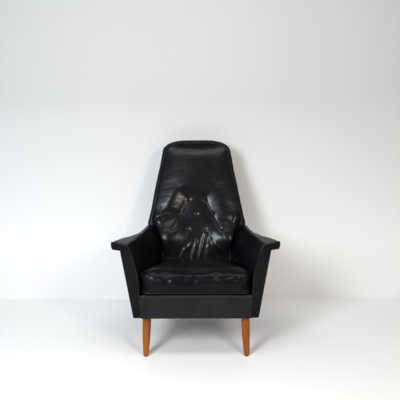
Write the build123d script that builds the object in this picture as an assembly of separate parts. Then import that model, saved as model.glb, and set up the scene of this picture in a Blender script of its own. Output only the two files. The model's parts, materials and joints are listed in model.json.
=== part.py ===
"""High back lounge chair: leather upholstery on a beech frame, four turned legs.

Millimetres. +X is to the right of someone facing the chair, the front faces -Y,
+Z is up and the floor is at zero. Depths are counted backwards from the front of
the apron, heights upwards from the floor, half widths outwards from the centre.
"""

from build123d import *
from math import atan, cos, radians, sin, sqrt, tan
import os

os.makedirs("parts", exist_ok=True)

# Overall
chair_height = 1040.0
chair_depth = 780.0
body_bottom = 200.0
layer_gap = 0.3
board_gap = 0.2
overrun = 60.0

# Side faces of the arms: they lean outwards with height and close in towards the rear
arm_front = 12.0
arm_rear = 550.0
side_rear = 600.0
side_low_front, side_low_rear = 299.0, 228.0
side_high_front, side_high_rear = 355.0, 277.0
side_high = 530.0

# Inner faces of the arms: upright beside the cushion, then curved out to the crest
inner_low_front, inner_low_rear = 272.0, 190.0
inner_top_front, inner_top_rear = 320.0, 250.0
inner_bend = 330.0
arm_seam = 522.0
armrest_height = 35.0
arm_foot_front = 265.0

# Armrests: wing at the front, rolled edge behind it
arm_crest_round = 9.0
wing_overhang = 36.0
wing_rise = 16.0
wing_under_rise = 9.0
arm_roll_bulge = 3.0
roll_least = 2.0
armrest_pad_wall = 9.0
arm_station_shares = (0.0, 0.07, 0.165, 0.275, 0.40, 0.59, 0.79, 1.15)
wing_flare_shares = (1.0, 0.97, 0.92, 0.75, 0.28, -0.2, -0.3, 0.0)
wing_rise_shares = (1.0, 0.85, 0.6, 0.3, 0.0, -0.1, -0.1, 0.0)
roll_low_shares = (0.45, 0.45, 0.45, 0.42, 0.36, 0.30, 0.42, 0.70)

# Layers of the arms
inner_pad_wall = 14.0
inner_board_wall = 3.0
panel_wall = 8.0
front_panel_wall = 10.0
post_wall = 25.0
rear_post_wall = 80.0

# Seat frame
apron_wall = 10.0
apron_board_wall = 12.0
apron_top = 300.0
apron_half_top, apron_half_bottom = 270.0, 266.0
apron_round = 4.0
front_rail_wall = 25.0
side_rail_wall = 28.0
rail_side_gap = 0.8
side_rail_setback = 10.0
back_rail_wall = 25.0
rail_bottom = 202.0
dust_cover_wall = 1.5
dust_cover_edge = 9.0
dust_cover_hole = 24.0
block_height = 42.0
block_front_run, block_front_reach = 96.0, 100.0
block_rear_height = 20.0
block_rear_run, block_rear_reach = 88.0, 84.0

# Seat cushion and deck, on a plane that falls towards the rear
seat_slope = 7.0
cushion_bottom = 310.0
cushion_length = 468.0
cushion_height = 108.0
cushion_side_gap = 3.0
cushion_corner = 36.0
cushion_cover_wall = 2.5
cushion_edge = 10.0
cushion_crown = 20.0
cushion_crown_reach = 150.0
cushion_crown_steps = 5
cushion_inset_shares = (0.9, 0.25, 0.0, 0.45, 0.0, 0.25)
cushion_rise_shares = (0.0, 0.05, 0.14, 0.50, 0.86, 0.95)
deck_wall = 9.0
deck_front = 26.0
deck_edge_gap = 1.0

# Seat springs: zigzag wire from the front rail to the back rail
spring_count = 4
spring_wire = 2.0
spring_straight = 30.0
spring_spacing = 92.0
spring_runs = 14
clip_wall = 1.5
clip_width = 18.0
clip_reach = 9.0

# Back: two faces that recline and close together towards the top
back_front = 480.0
back_bend = 350.0
back_pad_top_wall = 28.0
back_rear = 600.0
rear_recline = 0.2143
stile_front = 536.0
stile_level = 300.0
stile_top_cover = 16.0
stile_wall = 25.0
stile_width = 46.0
stile_foot_inset = 11.0
back_shoulder_rise, back_shoulder_half = 13.0, 285.0
back_waist_rise, back_waist_half = 70.0, 268.0
back_neck_half = 203.0
back_corner_run, back_corner_rise = 135.0, 66.0
back_shoulder_toe, back_waist_toe = 0.115, 0.09
back_corner_steps = 5
border_wall = 24.0
border_setback = 8.0
back_pad_bottom = 252.0
back_pad_crown = 22.0
back_pad_crown_start = 372.0
back_pad_edge_drop = 10.0
back_pad_steps = 4
back_pad_side_gap = 1.2
frame_side_gap = 1.0
webbing_wall = 3.0
webbing_width = 46.0
webbing_rows = 8
webbing_lowest = 352.0
webbing_top_gap = 20.0
rail_width = 44.0
frame_bottom_rail = 296.0
frame_middle_rise = 2.0
frame_top_drop = 94.0

# Buttons of the back: rows of four, three and two
button_pitch = 95.0
button_lowest_rise = 8.0
button_row_rise = 82.5
button_row_counts = (4, 3, 2)
button_radius = 8.0
button_rim = 2.5
button_height = 6.0
tuft_depth = 15.0
tuft_radius = 32.0
crease_radius = 7.0
crease_depth = 5.0
tie_radius = 1.2
tie_hole = 1.5
tie_tail = 3.0
tie_washer_radius = 9.0
tie_washer_wall = 1.5
tie_washer_gap = 0.7

# Legs
leg_top_radius = 20.5
leg_foot_radius = 12.5
leg_belly_share = 0.55
leg_belly_swell = 2.6
glide_height = 6.0
glide_radius = 10.5
front_leg_half, front_leg_depth = 240.0, 62.0
front_foot_half, front_foot_rake = 246.0, 28.0
rear_leg_half, rear_leg_setback = 172.0, 62.0
rear_foot_half, rear_foot_rake = 186.0, 54.0
hanger_radius = 4.0
hanger_in_leg = 42.0
hanger_fit = 0.05
tee_nut_radius = 11.0
tee_nut_wall = 2.0

# Dowels of the frame
dowel_radius = 4.0
dowel_length = 36.0
dowel_fit = 0.05
dowel_end_gap = 1.0

# Sizes that follow from those above
arm_top = arm_seam + armrest_height
back_shoulder_height = arm_top + back_shoulder_rise
back_waist_height = back_shoulder_height + back_waist_rise
button_lowest_row = arm_seam + button_lowest_rise
frame_middle_rail = arm_seam + frame_middle_rise
frame_top_rail = chair_height - frame_top_drop
webbing_pitch = (frame_top_rail - webbing_top_gap - webbing_lowest) / (webbing_rows - 1)
back_rear_top = back_rear + rear_recline * (chair_height - body_bottom)
stile_top = back_rear_top - stile_top_cover - stile_wall
stile_recline = (stile_top - stile_front) / (chair_height - stile_level)
back_recline = (stile_top - back_pad_top_wall - back_front) / (chair_height - back_bend)
side_rail_end = back_rear - side_rail_setback
rear_leg_depth = back_rear - rear_leg_setback
rear_foot_depth = rear_leg_depth + rear_foot_rake
front_foot_depth = front_leg_depth - front_foot_rake
apron_board_front = apron_wall + layer_gap
front_rail_front = arm_front + front_panel_wall + layer_gap + board_gap
front_rail_rear = front_rail_front + front_rail_wall
back_rail_front = side_rail_end - back_rail_wall
upholstery_front = arm_front + front_panel_wall + layer_gap
spring_stack = deck_wall + 2 * layer_gap + 2 * clip_wall + 2 * spring_wire + 4 * board_gap
seat_tilt = radians(seat_slope)
back_tilt = atan(back_recline)
back_corner_level = chair_height - back_corner_rise
leg_top = rail_bottom - board_gap


def y_at(depth):
    """The frame's Y of a depth behind the front of the apron."""
    return depth - chair_depth / 2


def at(half, depth, height):
    return (half, y_at(depth), height)


def between(low, high, share):
    return low + (high - low) * share


def outer_half(depth, height):
    """Half width of the outer side face."""
    along = (depth - arm_front) / (side_rear - arm_front)
    low = between(side_low_front, side_low_rear, along)
    high = between(side_high_front, side_high_rear, along)
    return between(low, high, (height - body_bottom) / (side_high - body_bottom))


def inner_half(depth, height):
    """Half width of the inner arm face: upright, then an arc out to the crest."""
    along = (depth - arm_front) / (arm_rear - arm_front)
    low = between(inner_low_front, inner_low_rear, along)
    top = between(inner_top_front, inner_top_rear, along)
    if height <= inner_bend:
        return low
    spread = top - low
    rise = arm_top - inner_bend
    radius = (spread**2 + rise**2) / (2 * spread)
    return low + radius - sqrt(radius**2 - (height - inner_bend) ** 2)


def deck_top(depth):
    """Height of the sloping plane under the cushion."""
    return cushion_bottom - depth * tan(seat_tilt)


def rail_top(depth):
    """Sloping top of the side rails, under the deck and the inner arm pads."""
    return deck_top(depth) - deck_wall - deck_edge_gap


def back_front_depth(height):
    """Depth of the back's front face: upright behind the cushion, then reclined."""
    return back_front + back_recline * max(height - back_bend, 0)


def back_rear_depth(height):
    return back_rear + rear_recline * (height - body_bottom)


def stile_depth(height):
    """Front face of the back's wooden frame."""
    return stile_front + stile_recline * (height - stile_level)


def back_half(depth, height):
    """Half width of the back's side face between the armrests and the neck."""
    if height <= arm_seam:
        return outer_half(depth, height)
    into = depth - back_front_depth(height)
    if height <= back_shoulder_height:
        share = (height - arm_seam) / (back_shoulder_height - arm_seam)
        shoulder = back_shoulder_half - back_shoulder_toe * into
        return between(outer_half(depth, arm_seam), shoulder, share)
    if height <= back_waist_height:
        share = (height - back_shoulder_height) / (back_waist_height - back_shoulder_height)
        half = between(back_shoulder_half, back_waist_half, share)
        return half - between(back_shoulder_toe, back_waist_toe, share) * into
    share = (height - back_waist_height) / (back_corner_level - back_waist_height)
    return between(back_waist_half, back_neck_half, share) - between(back_waist_toe, 0, share) * into


def ruled(wires):
    return Solid.make_loft(wires, ruled=True)


def corners_wire(*corners):
    return Wire(Polyline(*corners, close=True).edges())


def mirrored(solid):
    return mirror(solid, about=Plane.YZ)


def behind(shape, depth, height, recline):
    """What of a shape lies behind a face that passes a depth at a height, reclined."""
    face = Plane(origin=at(0, depth, height), z_dir=(0, 1, -recline))
    return split(shape, bisect_by=face, keep=Keep.TOP)


def before(shape, depth, height, recline):
    face = Plane(origin=at(0, depth, height), z_dir=(0, 1, -recline))
    return split(shape, bisect_by=face, keep=Keep.BOTTOM)


def under(shape, height):
    return split(shape, bisect_by=Plane(origin=(0, 0, height)), keep=Keep.BOTTOM)


def above(shape, height):
    return split(shape, bisect_by=Plane(origin=(0, 0, height)), keep=Keep.TOP)


def rod(start, end, radius):
    """A round bar between two points."""
    run = Vector(*end) - Vector(*start)
    return Plane(origin=start, z_dir=run) * extrude(Circle(radius), amount=run.length)


def save(name, *pieces):
    """One node: its solid, or its group of like solids."""
    solids = [solid for piece in pieces for solid in piece.solids()]
    shape = solids[0] if len(solids) == 1 else Compound(children=solids)
    shape.label = name
    export_step(shape, f"parts/{name}.step")


def save_pair(name, right):
    """The right-hand piece and its mirror image, as two nodes."""
    save(name + "_right", right)
    save(name + "_left", mirrored(right))


# Arms


def arm_face(offset, depth, height):
    """A point on the inner arm face, moved outwards."""
    return at(inner_half(depth, height) + offset, depth, height)


def arm_pad(inset, wall, depth_to, low_of, high):
    """A layer behind the inner arm face."""
    wires = []
    for depth in (upholstery_front, depth_to):
        low = low_of(depth)
        middle = (inner_bend + high) / 2
        back = inset + wall
        wires.append(Wire([
            Line(arm_face(inset, depth, low), arm_face(inset, depth, inner_bend)),
            ThreePointArc(
                arm_face(inset, depth, inner_bend),
                arm_face(inset, depth, middle),
                arm_face(inset, depth, high),
            ),
            Line(arm_face(inset, depth, high), arm_face(back, depth, high)),
            ThreePointArc(
                arm_face(back, depth, high),
                arm_face(back, depth, middle),
                arm_face(back, depth, inner_bend),
            ),
            Line(arm_face(back, depth, inner_bend), arm_face(back, depth, low)),
            Line(arm_face(back, depth, low), arm_face(inset, depth, low)),
        ]))
    return ruled(wires)


def arm_post(depth_from, depth_to):
    """Wood between the inner board and the outer panel, from the side rail up."""
    inset = inner_pad_wall + inner_board_wall + 2 * layer_gap
    high = arm_seam - board_gap
    wires = []
    for depth in (depth_from, depth_to):
        low = rail_top(depth) + board_gap
        side = panel_wall + layer_gap
        wires.append(Wire([
            Line(arm_face(inset, depth, low), arm_face(inset, depth, inner_bend)),
            ThreePointArc(
                arm_face(inset, depth, inner_bend),
                arm_face(inset, depth, (inner_bend + high) / 2),
                arm_face(inset, depth, high),
            ),
            Line(arm_face(inset, depth, high), at(outer_half(depth, high) - side, depth, high)),
            Line(
                at(outer_half(depth, high) - side, depth, high),
                at(outer_half(depth, low) - side, depth, low),
            ),
            Line(at(outer_half(depth, low) - side, depth, low), arm_face(inset, depth, low)),
        ]))
    return ruled(wires)


def side_layer(depth_from, depth_to, inset, wall, low_of, high_of):
    """A layer that follows the outer side face, between two heights."""
    wires = []
    for depth in (depth_from, depth_to):
        low, high = low_of(depth), high_of(depth)
        wires.append(corners_wire(
            at(outer_half(depth, low) - inset, depth, low),
            at(outer_half(depth, high) - inset, depth, high),
            at(outer_half(depth, high) - inset - wall, depth, high),
            at(outer_half(depth, low) - inset - wall, depth, low),
        ))
    return ruled(wires)


def armrest_section(depth, flare, rise, roll, inset, bottom):
    """Cross-section of an armrest: inner face, crest, top, rolled edge or wing."""
    winged = max(flare, 0)
    crest = arm_top - inset
    round_start = arm_top - arm_crest_round
    top_height = crest + rise * wing_rise
    crest_half = inner_half(depth, arm_top) + arm_crest_round
    top_half = outer_half(depth, arm_top) + wing_overhang * flare
    middle = (crest_half + top_half) / 2
    crest_half = min(crest_half + inset, middle - roll_least / 2)
    top_half = max(top_half - inset, middle + roll_least / 2)
    roll_height = between(arm_seam, arm_top, roll) + inset * (2 * winged - 1)
    roll_height = max(roll_height, bottom + roll_least)
    roll_half = outer_half(depth, roll_height) + wing_overhang * winged - inset
    inner_low = at(inner_half(depth, bottom) + inset, depth, bottom)
    inner_high = at(inner_half(depth, round_start) + inset, depth, round_start - inset)
    crest_point = at(crest_half, depth, crest)
    top_point = at(top_half, depth, top_height)
    roll_point = at(roll_half, depth, roll_height)
    under_height = bottom + roll_least / 2 + wing_under_rise * winged**2
    under_point = at(outer_half(depth, under_height) - inset, depth, under_height)
    side_point = at(outer_half(depth, bottom) - inset, depth, bottom)
    bulge_point = at(
        (top_half + roll_half) / 2 + arm_roll_bulge,
        depth,
        (top_height + roll_height) / 2 + arm_roll_bulge * (1 - winged),
    )
    return Wire([
        Line(inner_low, inner_high),
        Line(inner_high, crest_point),
        Line(crest_point, top_point),
        ThreePointArc(top_point, bulge_point, roll_point),
        Line(roll_point, under_point),
        Line(under_point, side_point),
        Line(side_point, inner_low),
    ])


def armrest_loft(inset, bottom, front):
    """The armrest, inset from its skin, behind a front depth."""
    wires = []
    for share, flare, rise, roll in zip(
        arm_station_shares, wing_flare_shares, wing_rise_shares, roll_low_shares
    ):
        depth = between(arm_front, arm_rear, share)
        wires.append(armrest_section(depth, flare, rise, roll, inset, bottom))
    return behind(ruled(wires), front, arm_top, 0).solid()


def arm_front_panel():
    """Flat panel of the arm's front: foot, curved inner edge and the wing's outline."""
    wing = armrest_section(
        arm_front, wing_flare_shares[0], wing_rise_shares[0], roll_low_shares[0], 0, arm_seam
    ).edges()
    low = at(arm_foot_front, arm_front, body_bottom)
    shoulder = at(inner_low_front, arm_front, apron_top)
    bend = at(inner_low_front, arm_front, inner_bend)
    middle_height = (inner_bend + arm_top - arm_crest_round) / 2
    middle = arm_face(0, arm_front, middle_height)
    foot = at(outer_half(arm_front, body_bottom), arm_front, body_bottom)
    outline = Wire([
        Line(low, shoulder),
        Line(shoulder, bend),
        ThreePointArc(bend, middle, wing[0] @ 1),
        Line(wing[1] @ 0, wing[1] @ 1),
        Line(wing[2] @ 0, wing[2] @ 1),
        ThreePointArc(wing[3] @ 0, wing[3] @ 0.5, wing[3] @ 1),
        Line(wing[4] @ 0, wing[4] @ 1),
        Line(wing[5] @ 0, wing[5] @ 1),
        Line(wing[5] @ 1, foot),
        Line(foot, low),
    ])
    return extrude(Face(outline), amount=front_panel_wall, dir=(0, 1, 0))


def make_arms():
    pad_back = back_front_depth(arm_top) + border_setback
    save_pair("arm_front_panel", arm_front_panel())

    # The top board is sawn to the armrest's outline and lies on both posts
    board = armrest_loft(
        armrest_pad_wall + board_gap, arm_seam, upholstery_front + armrest_pad_wall + board_gap
    )
    board = before(board, pad_back - layer_gap, arm_top, back_recline).solid()
    hollow = armrest_loft(
        armrest_pad_wall - board_gap,
        arm_seam - board_gap,
        upholstery_front + armrest_pad_wall - board_gap,
    )
    pad = armrest_loft(0, arm_seam + layer_gap, upholstery_front)
    pad = before(pad, pad_back - layer_gap, arm_top, back_recline)
    save_pair("armrest_pad", (pad - hollow).solid())

    # Layers from the seat outwards
    def pad_low(depth):
        return deck_top(depth) - deck_wall

    def seam_low(depth):
        return arm_seam - layer_gap

    def foot(depth):
        return body_bottom

    pad_end = stile_depth(stile_level) - layer_gap
    inner_pad = arm_pad(0, inner_pad_wall, side_rear, pad_low, seam_low(0))
    save_pair("arm_inner_pad", before(inner_pad, pad_end, stile_level, stile_recline).solid())
    inner_board = arm_pad(
        inner_pad_wall + layer_gap, inner_board_wall, side_rear, pad_low, seam_low(0)
    )
    save_pair("arm_inner_board", before(inner_board, pad_end, stile_level, stile_recline).solid())
    panel = side_layer(upholstery_front, chair_depth, 0, panel_wall, foot, seam_low)
    panel_end = back_rear_depth(body_bottom) - panel_wall - layer_gap
    panel = before(panel, panel_end, body_bottom, rear_recline).solid()
    save_pair("arm_outer_panel", panel)

    front_post = arm_post(front_rail_front, front_rail_front + post_wall)
    rear_post = arm_post(stile_front - overrun * 2, stile_front + overrun * 2)
    rear_post = behind(rear_post, stile_front - rear_post_wall, stile_level, stile_recline)
    rear_post = before(rear_post, stile_front - board_gap, stile_level, stile_recline).solid()
    return {"board": board, "front_post": front_post, "rear_post": rear_post}


# Seat frame


def rail_end_half(depth, height):
    """Where a cross rail meets the inner face of a side rail."""
    return outer_half(depth, height) - panel_wall - rail_side_gap - side_rail_wall - board_gap


def cross_rail(depth_from, depth_to, top):
    wires = []
    for depth in (depth_from, depth_to):
        wires.append(corners_wire(
            at(rail_end_half(depth, rail_bottom), depth, rail_bottom),
            at(rail_end_half(depth, top), depth, top),
            at(-rail_end_half(depth, top), depth, top),
            at(-rail_end_half(depth, rail_bottom), depth, rail_bottom),
        ))
    return ruled(wires)


def corner_block(depth, run, reach, height, away):
    """Triangular block in a corner of the frame, drilled for a leg's bolt."""
    corner = rail_end_half(depth + max(away, 0) * run, rail_bottom)
    side = rail_end_half(depth + away * run, rail_bottom)
    outline = Polyline(
        at(min(corner, rail_end_half(depth, rail_bottom)), depth, rail_bottom),
        at(min(side, corner + run), depth + away * run, rail_bottom),
        at(corner - reach, depth, rail_bottom),
        close=True,
    )
    return extrude(Face(Wire(outline.edges())), amount=height, dir=(0, 0, 1))


def make_seat_frame():
    apron_outline = [
        at(apron_half_bottom, 0, body_bottom),
        at(apron_half_top, 0, apron_top),
        at(-apron_half_top, 0, apron_top),
        at(-apron_half_bottom, 0, body_bottom),
    ]
    apron = extrude(Face(corners_wire(*apron_outline)), amount=apron_wall, dir=(0, 1, 0))
    front_edges = apron.edges().filter_by(lambda e: abs((e @ 0.5).Y - y_at(0)) < apron_round)
    save("front_apron", fillet(front_edges, apron_round))

    board_half = arm_foot_front - layer_gap
    board_outline = [
        at(board_half, apron_board_front, rail_bottom),
        at(board_half, apron_board_front, front_rail_top()),
        at(-board_half, apron_board_front, front_rail_top()),
        at(-board_half, apron_board_front, rail_bottom),
    ]
    board = extrude(Face(corners_wire(*board_outline)), amount=apron_board_wall, dir=(0, 1, 0))
    save("apron_board", board)

    def low(depth):
        return rail_bottom

    side_rail = side_layer(
        front_rail_front, side_rail_end, panel_wall + rail_side_gap, side_rail_wall, low, rail_top
    )
    front_rail = cross_rail(front_rail_front, front_rail_rear, front_rail_top())
    back_rail = cross_rail(back_rail_front, side_rail_end, back_rail_top())
    return {"side_rail": side_rail, "front_rail": front_rail, "back_rail": back_rail}


def front_rail_top():
    """The springs and their clips lie between this rail and the deck."""
    return deck_top(front_rail_rear) - spring_stack / cos(seat_tilt)


def back_rail_top():
    return deck_top(side_rail_end) - spring_stack / cos(seat_tilt)


# Seat springs and deck

seat_plane = Plane(
    origin=at(0, 0, cushion_bottom), x_dir=(1, 0, 0), z_dir=(0, sin(seat_tilt), cos(seat_tilt))
)


def seat_along(depth):
    """Distance along the sloping seat plane of a depth."""
    return depth / cos(seat_tilt)


def make_springs():
    first = seat_along((front_rail_front + front_rail_rear) / 2)
    last = seat_along((back_rail_front + side_rail_end) / 2)
    pitch = (last - first) / (spring_runs - 1)
    level = -(deck_wall + 2 * layer_gap + clip_wall + board_gap + spring_wire)
    straight = spring_straight / 2
    springs, clips = [], []
    for index in range(spring_count):
        centre = (index - (spring_count - 1) / 2) * spring_spacing
        edges = []
        for run in range(spring_runs):
            along = first + run * pitch
            way = 1 if run % 2 == 0 else -1
            edges.append(Line((centre - way * straight, along), (centre + way * straight, along)))
            if run < spring_runs - 1:
                edges.append(ThreePointArc(
                    (centre + way * straight, along),
                    (centre + way * (straight + pitch / 2), along + pitch / 2),
                    (centre + way * straight, along + pitch),
                ))
        path = Wire(edges)
        start = Plane(origin=path @ 0, z_dir=path % 0)
        wire = sweep(start * Circle(spring_wire), path=path)
        springs.append(seat_plane * Pos(0, 0, level) * wire)
        for along, facing in ((first, -1), (last, 1)):
            clips.append(seat_plane * Pos(centre, along, level) * spring_clip(facing))
    save("seat_springs", *springs)
    save("spring_clips", *clips)


def spring_clip(facing):
    """A folded strip round a spring's end run, open towards the spring."""
    inside = spring_wire + board_gap
    outside = inside + clip_wall
    forwards = (Align.CENTER, Align.MIN, Align.CENTER)
    reach = clip_reach + outside
    body = Box(clip_width, reach, 2 * outside, align=forwards)
    slot = Box(clip_width + overrun, reach, 2 * inside, align=forwards)
    strip = Pos(0, -outside, 0) * body - Pos(0, -inside, 0) * slot
    if facing > 0:
        strip = mirror(strip, about=Plane.XZ)
    return strip


def cushion_half(along, clearance):
    """Half width between the arms at the cushion's level."""
    return inner_half(along * cos(seat_tilt), inner_bend) - clearance


def make_deck():
    start = seat_along(deck_front)
    end = seat_along(back_front - deck_edge_gap)
    outline = Polyline(
        (cushion_half(start, deck_edge_gap), start),
        (cushion_half(end, deck_edge_gap), end),
        (-cushion_half(end, deck_edge_gap), end),
        (-cushion_half(start, deck_edge_gap), start),
        close=True,
    )
    deck = extrude(Face(Wire(outline.edges())), amount=deck_wall)
    save("seat_deck", seat_plane * Pos(0, 0, -deck_wall - layer_gap) * deck)


def make_dust_cover(legs):
    front, rear = apron_wall, back_rear - panel_wall - layer_gap
    edge = dust_cover_edge
    level = body_bottom + layer_gap
    outline = Polyline(
        at(arm_foot_front - edge, front + layer_gap, level),
        at(outer_half(rear, body_bottom) - edge, rear, level),
        at(-outer_half(rear, body_bottom) + edge, rear, level),
        at(-arm_foot_front + edge, front + layer_gap, level),
        close=True,
    )
    cover = extrude(Face(Wire(outline.edges())), amount=dust_cover_wall, dir=(0, 0, 1))
    for half, depth in legs:
        for side in (-1, 1):
            cover -= Pos(*at(side * half, depth, level)) * Cylinder(dust_cover_hole, overrun)
    save("dust_cover", cover)


# Seat cushion


def cushion_wire(inset, rise):
    """Rounded outline of the cushion at one level above the seat plane."""
    end = cushion_length - inset
    front = cushion_half(inset, cushion_side_gap + inset)
    rear = cushion_half(end, cushion_side_gap + inset)
    outline = FilletPolyline(
        (front, inset), (rear, end), (-rear, end), (-front, inset), radius=cushion_corner, close=True
    )
    return Pos(0, 0, rise) * Wire(outline.edges())


def cushion_loft(wall):
    """The cushion's crowned form, inside its skin by a wall."""
    height = cushion_height - 2 * wall
    wires = []
    for inset, rise in zip(cushion_inset_shares, cushion_rise_shares):
        wires.append(cushion_wire(wall + inset * cushion_edge, wall + rise * height))
    for step in range(cushion_crown_steps + 1):
        turn = radians(90 * step / cushion_crown_steps)
        inset = wall + cushion_edge + cushion_crown_reach * (1 - cos(turn))
        wires.append(cushion_wire(inset, wall + height + cushion_crown * sin(turn)))
    return ruled(wires)


def make_cushion():
    cover = cushion_loft(0) - cushion_loft(cushion_cover_wall)
    core = cushion_loft(cushion_cover_wall + layer_gap)
    lift = Pos(0, 0, layer_gap)
    save("seat_cushion_cover", seat_plane * lift * cover)
    save("seat_cushion_core", seat_plane * lift * core)


# Back


def corner_levels(inset):
    """Heights and half widths round the top corners, from the neck to the crown."""
    levels = []
    for step in range(back_corner_steps + 1):
        turn = radians(90 * step / back_corner_steps)
        half = back_neck_half - back_corner_run + (back_corner_run - inset) * cos(turn)
        levels.append((back_corner_level + (back_corner_rise - inset) * sin(turn), half))
    return levels


def back_section(height, front, rear, half_of):
    return corners_wire(
        at(half_of(front), front, height),
        at(half_of(rear), rear, height),
        at(-half_of(rear), rear, height),
        at(-half_of(front), front, height),
    )


def back_levels(inset, bottom):
    """Heights of the back's sections with the half width at each depth."""
    levels = []
    for height in (bottom, back_shoulder_height, back_waist_height):
        levels.append((height, lambda depth, height=height: back_half(depth, height) - inset))
    for height, half in corner_levels(inset):
        levels.append((height, lambda depth, half=half: half))
    return levels


def back_layer(inset, bottom, front_of, rear_of):
    """A layer of the back with its rounded top, between two reclined faces."""
    wires = []
    for height, half_of in back_levels(inset, bottom):
        wires.append(back_section(height, front_of(height), rear_of(height), half_of))
    return ruled(wires)


def crown_at(height):
    """The back pad's crown grows from none behind the cushion to full at the arm seam."""
    share = (height - back_pad_crown_start) / (arm_seam - back_pad_crown_start)
    return back_pad_crown * min(max(share, 0), 1)


def pad_surface(half, height):
    """Depth of the crowned front of the back pad at a half width and height."""
    edge = pad_half(back_front_depth(height) + back_pad_edge_drop, height)
    sag = crown_at(height) + back_pad_edge_drop
    radius = (edge**2 + sag**2) / (2 * sag)
    return back_front_depth(height) - crown_at(height) + radius - sqrt(radius**2 - half**2)


def pad_half(depth, height):
    """Half width of the back pad: between the arms, then inside the border."""
    if height <= arm_top:
        return inner_half(depth, height) - back_pad_side_gap
    return back_half(depth, height) - border_wall - layer_gap


def pad_section(height, half_of):
    front = back_front_depth(height)
    edge = front + back_pad_edge_drop
    rear = stile_depth(height) - webbing_wall - 2 * layer_gap
    wide, narrow = half_of(edge), half_of(rear)
    return Wire([
        ThreePointArc(
            at(-wide, edge, height), at(0, front - crown_at(height), height), at(wide, edge, height)
        ),
        Line(at(wide, edge, height), at(narrow, rear, height)),
        Line(at(narrow, rear, height), at(-narrow, rear, height)),
        Line(at(-narrow, rear, height), at(-wide, edge, height)),
    ])


def button_places():
    """Half width and height of each button, row by row."""
    places = []
    for row, count in enumerate(button_row_counts):
        height = button_lowest_row + row * button_row_rise
        for index in range(count):
            places.append(((index - (count - 1) / 2) * button_pitch, height))
    return places


def surface_plane(half, height, lift):
    """Plane on the back pad's front, facing out of it, lifted off the surface."""
    outwards = Vector(0, -cos(back_tilt), sin(back_tilt))
    origin = Vector(*at(half, pad_surface(half, height), height)) + outwards * lift
    return Plane(origin=origin, x_dir=(1, 0, 0), z_dir=outwards)


def make_back_pad():
    heights = [back_pad_bottom, inner_bend, back_pad_crown_start]
    for step in range(1, back_pad_steps + 1):
        heights.append(between(back_pad_crown_start, arm_seam, step / back_pad_steps))
    wires = []
    for height in heights + [arm_top, back_shoulder_height, back_waist_height]:
        wires.append(pad_section(height, lambda depth, height=height: pad_half(depth, height)))
    for height, half in corner_levels(border_wall + layer_gap):
        wires.append(pad_section(height, lambda depth, half=half: half))
    pad = ruled(wires)

    # Creases run down the outer diagonals from the top row to the lowest
    rows = len(button_row_counts)
    for side in (-1, 1):
        for row in range(rows - 1):
            ends = []
            for level in (row, row + 1):
                half = side * (button_row_counts[level] - 1) / 2 * button_pitch
                height = button_lowest_row + level * button_row_rise
                ends.append(surface_plane(half, height, crease_radius - crease_depth).origin)
            pad -= rod(tuple(ends[0]), tuple(ends[1]), crease_radius)

    sphere_radius = (tuft_radius**2 + tuft_depth**2) / (2 * tuft_depth)
    for half, height in button_places():
        pad -= surface_plane(half, height, sphere_radius - tuft_depth) * Sphere(sphere_radius)
        pad -= surface_plane(half, height, 0) * Pos(0, 0, -overrun) * Cylinder(tie_hole, 2 * overrun)
    save("back_pad", pad.solid())


def tie_length(half, height):
    """From the pad's surface along a tie to the rear of the webbing."""
    start = pad_surface(half, height)
    run = stile_depth(height) - layer_gap - start
    return run / (cos(back_tilt) + stile_recline * sin(back_tilt))


def make_buttons():
    sphere_radius = (tuft_radius**2 + tuft_depth**2) / (2 * tuft_depth)
    seat = -tuft_depth + sphere_radius - sqrt(sphere_radius**2 - button_radius**2) + layer_gap
    disc = Cylinder(button_radius, button_height, align=(Align.CENTER, Align.CENTER, Align.MIN))
    button = fillet(disc.edges().group_by(Axis.Z)[-1], button_height - button_rim)
    buttons, ties, washers = [], [], []
    for half, height in button_places():
        length = tie_length(half, height)
        buttons.append(surface_plane(half, height, seat) * button)
        tie = Cylinder(
            tie_radius,
            length + seat + tie_washer_gap + tie_washer_wall + tie_tail,
            align=(Align.CENTER, Align.CENTER, Align.MAX),
        )
        ties.append(surface_plane(half, height, seat - board_gap) * tie)
        washer = Cylinder(
            tie_washer_radius, tie_washer_wall, align=(Align.CENTER, Align.CENTER, Align.MAX)
        ) - Cylinder(tie_hole, overrun)
        washers.append(surface_plane(half, height, -length - tie_washer_gap) * washer)
    save("back_buttons", *buttons)
    save("button_ties", *ties)
    save("tie_washers", *washers)


def stile_outer(height):
    """Outer edge of the back frame, inside the border and the side panels."""
    rear = stile_depth(height) + stile_wall
    if height < arm_seam - border_wall:
        return outer_half(rear, height) - panel_wall - stile_foot_inset
    return back_half(rear, height) - border_wall - frame_side_gap


def frame_piece(levels, outer_of, inner_of):
    """A wooden piece of the back between the stile faces, on the right side."""
    wires = []
    for height in levels:
        front, rear = stile_depth(height), stile_depth(height) + stile_wall
        wires.append(corners_wire(
            at(outer_of(height), front, height),
            at(outer_of(height), rear, height),
            at(inner_of(height), rear, height),
            at(inner_of(height), front, height),
        ))
    return ruled(wires)


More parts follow.
